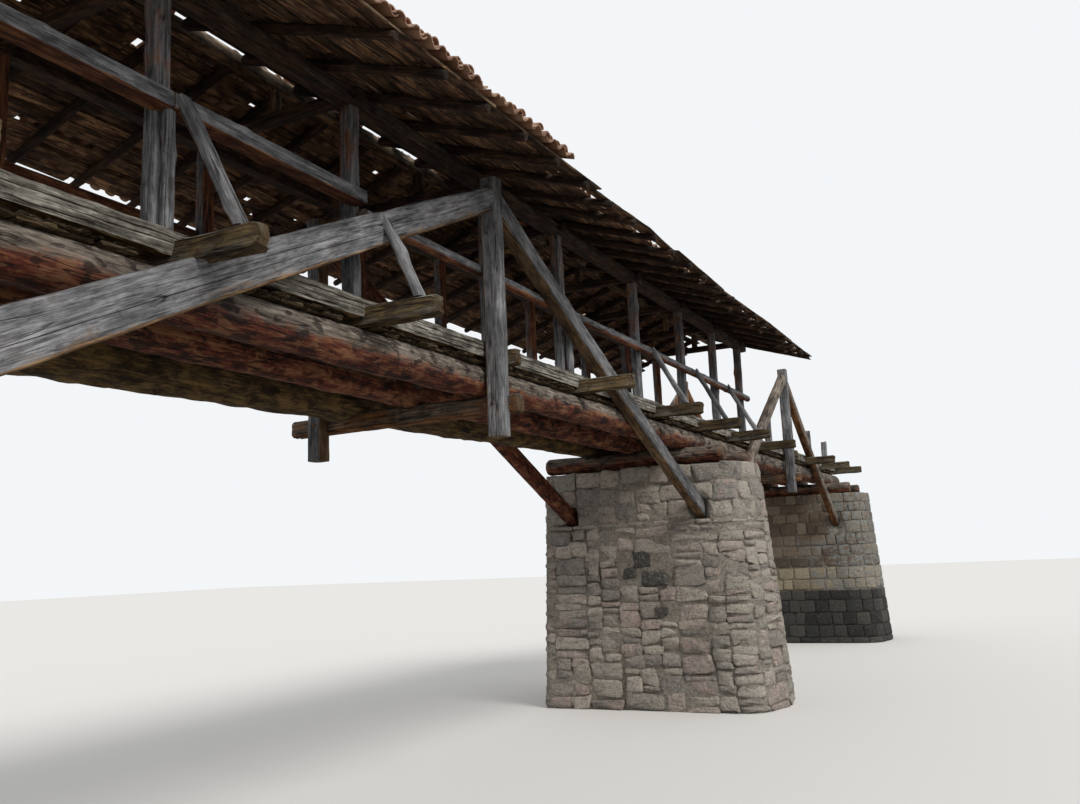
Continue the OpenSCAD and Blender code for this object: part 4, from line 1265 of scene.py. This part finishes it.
# where sky shows beside the ridge beam, from the middle of the bridge
skyHoles = (
    (-10.4, -10.2), (-10.05, -9.8), (-9.45, -8.95), (-8.45, -8.28), (-7.42, -7.1), (-6.72, -6.6),
    (-6.35, -6.05),
)
random = np.random.default_rng(91)
for name, side in (("nearRoofBoards", -1), ("farRoofLaths", 1)):
    own = roofBoardLook[name]
    step = (slopeLength - 0.03) / own["courses"]
    parts = []
    for course in range(own["courses"]):
        x = roofStart + 0.02 + random.uniform(0, 0.1)
        while x < roofEnd - 0.4:
            length = random.uniform(1.2, 3.2)
            end = min(x + length, roofEnd + random.uniform(-0.6, 0.45))
            wide = step * own["fill"] * random.uniform(0.68, 1.2)
            down = (course + 0.5) * step + 0.03 + random.uniform(-0.015, 0.015)
            skew = random.uniform(-0.06, 0.06)
            high = 0.133 + random.uniform(-0.012, 0.006)
            hole = course == 0 and side < 0 and any(x < b and end > a for a, b in skyHoles)
            if end - x > 0.3:
                down = down + 0.045 if hole else down
                down = min(down, slopeLength - wide / 2 - abs(skew) - 0.002)
                look = {**roofBoardLook["both"], **{key: own[key] for key in ("rings", "around", "fray")}}
                look.update(swell=0.3 if hole else 0.06, up=(0, side * math.sin(pitch), math.cos(pitch)))
                look.update(seed=int(random.integers(1000, 9000)))
                first, last = onSlope(x, down - skew, high, side), onSlope(end, down + skew, high, side)
                parts.append(timber(first, last, wide, 0.022, **look))
            x = end + random.uniform(0.0, 0.05)
    makePiece(name, "roofWood", "roof_wood", parts)
print("roof frame made")

# Tiles: half pipes, thinner at the top end, laid hollow side up with a row of covers over their edges
tileLook = {
    "pitch": 0.215, "lap": 0.285, "rows": 9, "length": 0.42, "radius": 0.088, "thick": 0.013, "turn": 66,
    "segments": 5, "base": 0.148,  # height of the boards' top over the rafters' underside
}
# spare tiles laid over the eave row: how far from the eave, how much higher, and how many columns have one
spareTiles = ((0.26, 0.03, 0.6), (0.397, 0.03, 0.55), (0.29, 0.075, 0.45), (0.43, 0.07, 0.35))
ridgeTileLook = {"start": 0.2, "stop": 1.1, "step": 0.34, "radius": 0.15, "taper": 0.018, "thick": 0.015}


def halfPipes(count):
    # one tile: an outer and an inner arc at each end; gives how far each point turns, 1 for the inner side,
    # and the faces of all
    segments = tileLook["segments"]
    turn = np.radians(np.linspace(-tileLook["turn"], tileLook["turn"], segments + 1))
    ring = np.concatenate([turn, turn[::-1]])
    inner = np.concatenate([np.zeros(segments + 1), np.ones(segments + 1)])
    around = len(ring)
    j = np.arange(around)
    k = (j + 1) % around
    sides = np.stack([j, j + around, k + around, k], -1)
    m = np.arange(segments)
    cap0 = np.stack([m, m + 1, around - 2 - m, around - 1 - m], -1)
    cap1 = cap0[:, ::-1] + around
    faces = np.concatenate([sides, cap0, cap1])
    return ring, inner, faces + (np.arange(count) * 2 * around)[:, None, None]


def tileSurface(points, under, chance, end, quads):
    # the kind: 1 on the side that faces down, the tile's own chance, and how far along it
    kind = np.stack([np.broadcast_to(value, points.shape[:3]) for value in (under, chance, end)], -1)
    return surface(points, kind, quads)


def tileField(x, down, side, hollowUp, seed, lift=0.0):
    # every tile at once: its place on the slope, turned and tilted a little by its own random numbers
    random = np.random.default_rng(seed)
    each = (len(x), 1, 1)
    bend, inner, quads = halfPipes(len(x))
    small = tileLook["radius"] * (1 - 0.06 * random.random(each))
    ends = np.array([0.0, 1.0])[None, :, None]
    radius = small * (0.84 + 0.16 * ends if not hollowUp else 1.0 - 0.1 * ends)
    radius = radius - tileLook["thick"] * inner
    if hollowUp:
        raised = small - radius * np.cos(bend) + 0.004
    else:
        raised = radius * np.cos(bend) - small * math.cos(math.radians(tileLook["turn"])) + 0.034
    yaw = np.clip(random.normal(0, 0.06, each), -0.1, 0.1)
    slip = np.clip(random.normal(0, 0.012, each), -0.03, 0.004)
    across, along = radius * np.sin(bend), tileLook["length"] * (ends - 0.5)
    xx = x[:, None, None] + across + yaw * along
    dd = down[:, None, None] + along - yaw * across + slip
    up = tileLook["base"] + lift + raised + 0.02 * ends
    up = up + random.uniform(0, 0.006 if hollowUp else 0.016, each)
    under = 1 - inner if hollowUp else inner
    return tileSurface(onSlope(xx, dd, up, side), under, random.random(each), ends, quads)


def clearOfHoles(x, spare):
    clear = np.ones(len(x), bool)
    for a, b in skyHoles:
        clear &= ~((x > a - spare) & (x < b + spare))
    return clear


for name, side, stop in (("nearTiles", -1, 0.9), ("farTiles", 1, 0.7)):
    batch = Batch(name)
    rowsDown = slopeLength - 0.196 - np.arange(tileLook["rows"]) * tileLook["lap"]
    columnsX = np.arange(roofStart + 0.12, roofEnd + 0.2, tileLook["pitch"])
    random = np.random.default_rng(600 + side)
    for hollowUp in (True, False):
        shift = 0.0 if hollowUp else tileLook["pitch"] / 2
        xx, dd = (v.ravel() for v in np.meshgrid(columnsX + shift, rowsDown, indexing="ij"))
        brokenEnd = roofEnd - stop + 0.5 * np.sin(dd * 9 + side) + 0.2 * np.sin(dd * 23)
        keep = (xx < brokenEnd) & (random.random(len(xx)) > 0.03)
        if side < 0:
            # the eave row has gone beyond the first king post, and no tile covers a hole
            keep &= ~((dd > slopeLength - 0.5) & (xx > king1 - 0.2))
            keep &= (dd >= 0.4) | clearOfHoles(xx, 0.08)
        batch.add(tileField(xx[keep], dd[keep], side, hollowUp, 610 + side + 2 * hollowUp))
    for back, lift, share in spareTiles:
        xx = columnsX + 0.05 + 0.4 * lift
        xx = xx[(xx < king1 - 0.3) & (random.random(len(xx)) < share)]
        seed = int(660 + side + 1000 * (back + lift))
        batch.add(tileField(xx, np.full_like(xx, slopeLength - back), side, False, seed, lift=lift))
    batch.done(tileClay, "roof_tile", nodeName(name), sharp=40)


def ridgeTiles():
    # the same half pipes end to end along the ridge, each with its own radius and a little out of line
    look = ridgeTileLook
    x = np.arange(roofStart + look["start"], roofEnd - look["stop"], look["step"])
    x = x[clearOfHoles(x, 0.2)]
    each = (len(x), 1, 1)
    bend, inner, quads = halfPipes(len(x))
    random = np.random.default_rng(640)
    ends = np.array([0.0, 1.0])[None, :, None]
    radius = look["radius"] - look["taper"] * ends - look["thick"] * inner
    radius = radius + random.uniform(-0.006, 0.0, each)
    xx = x[:, None, None] + tileLook["length"] * (ends - 0.5)
    yy = radius * np.sin(bend) + random.normal(0, 0.01, each)
    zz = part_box("ridge_tiles")[1].z - 0.152 - 0.012 * ends + radius * np.cos(bend)
    points = np.stack(np.broadcast_arrays(xx, yy, zz), -1)
    return tileSurface(points, inner, random.random(each), ends, quads)


batch = Batch("ridgeTiles")
batch.add(ridgeTiles())
batch.done(tileClay, "roof_tile", "ridge_tiles", sharp=40)
print("tiles made; triangles in all", counts["triangles"])

# Floor, backdrop and light
floorLook = {"size": 150.0, "seen": (0.72, 0.71, 0.69, 1), "dim": (0.34, 0.33, 0.31, 1)}
skyLook = {"soft": (0.97, 0.98, 1.0, 1), "softStrength": 0.75, "pale": (0.9, 0.92, 0.94, 1)}
sunLook = {"energy": 1.9, "angle": 25, "color": (1.0, 0.97, 0.92), "turn": (42, -24, 0)}


def makeFloor():
    # pale where the camera sees it, and dimmer in the light it throws back
    material = bpy.data.materials.new("paleFloor")
    start = emptyTree(material)
    seen = start.node("BsdfDiffuse", None, {"Color": floorLook["seen"]})
    dim = start.node("BsdfDiffuse", None, {"Color": floorLook["dim"]})
    camera = start.node("LightPath")
    output("OutputMaterial", start.node("MixShader", None, {0: camera, 1: dim, 2: seen}))
    mesh = bpy.data.meshes.new("floor")
    size = floorLook["size"]
    corners = [(x * size, y * size, -0.002) for x, y in ((-1, -1), (1, -1), (1, 1), (-1, 1))]
    mesh.from_pydata(corners, [], [(0, 1, 2, 3)])
    mesh.materials.append(material)
    floor = bpy.data.objects.new("floor", mesh)
    bpy.context.scene.collection.objects.link(floor)


def makeLight():
    world = bpy.data.worlds.new("studio")
    bpy.context.scene.world = world
    start = emptyTree(world)
    camera, glossy = (start.node("LightPath", out=name) for name in ("Is Camera Ray", "Is Glossy Ray"))
    soft = {"Color": skyLook["soft"], "Strength": skyLook["softStrength"]}
    soft = start.node("Background", None, soft)
    pale = start.node("Background", None, {"Color": skyLook["pale"], "Strength": 1.0})
    seen = start.maths("MAXIMUM", camera, glossy)
    output("OutputWorld", start.node("MixShader", None, {0: seen, 1: soft, 2: pale}))
    sun = bpy.data.lights.new("softSun", "SUN")
    sun.energy = sunLook["energy"]
    sun.angle = math.radians(sunLook["angle"])
    sun.color = sunLook["color"]
    lamp = bpy.data.objects.new("softSun", sun)
    lamp.rotation_euler = [math.radians(turn) for turn in sunLook["turn"]]
    bpy.context.scene.collection.objects.link(lamp)


makeFloor()
makeLight()
bpy.context.scene.view_settings.view_transform = "Standard"
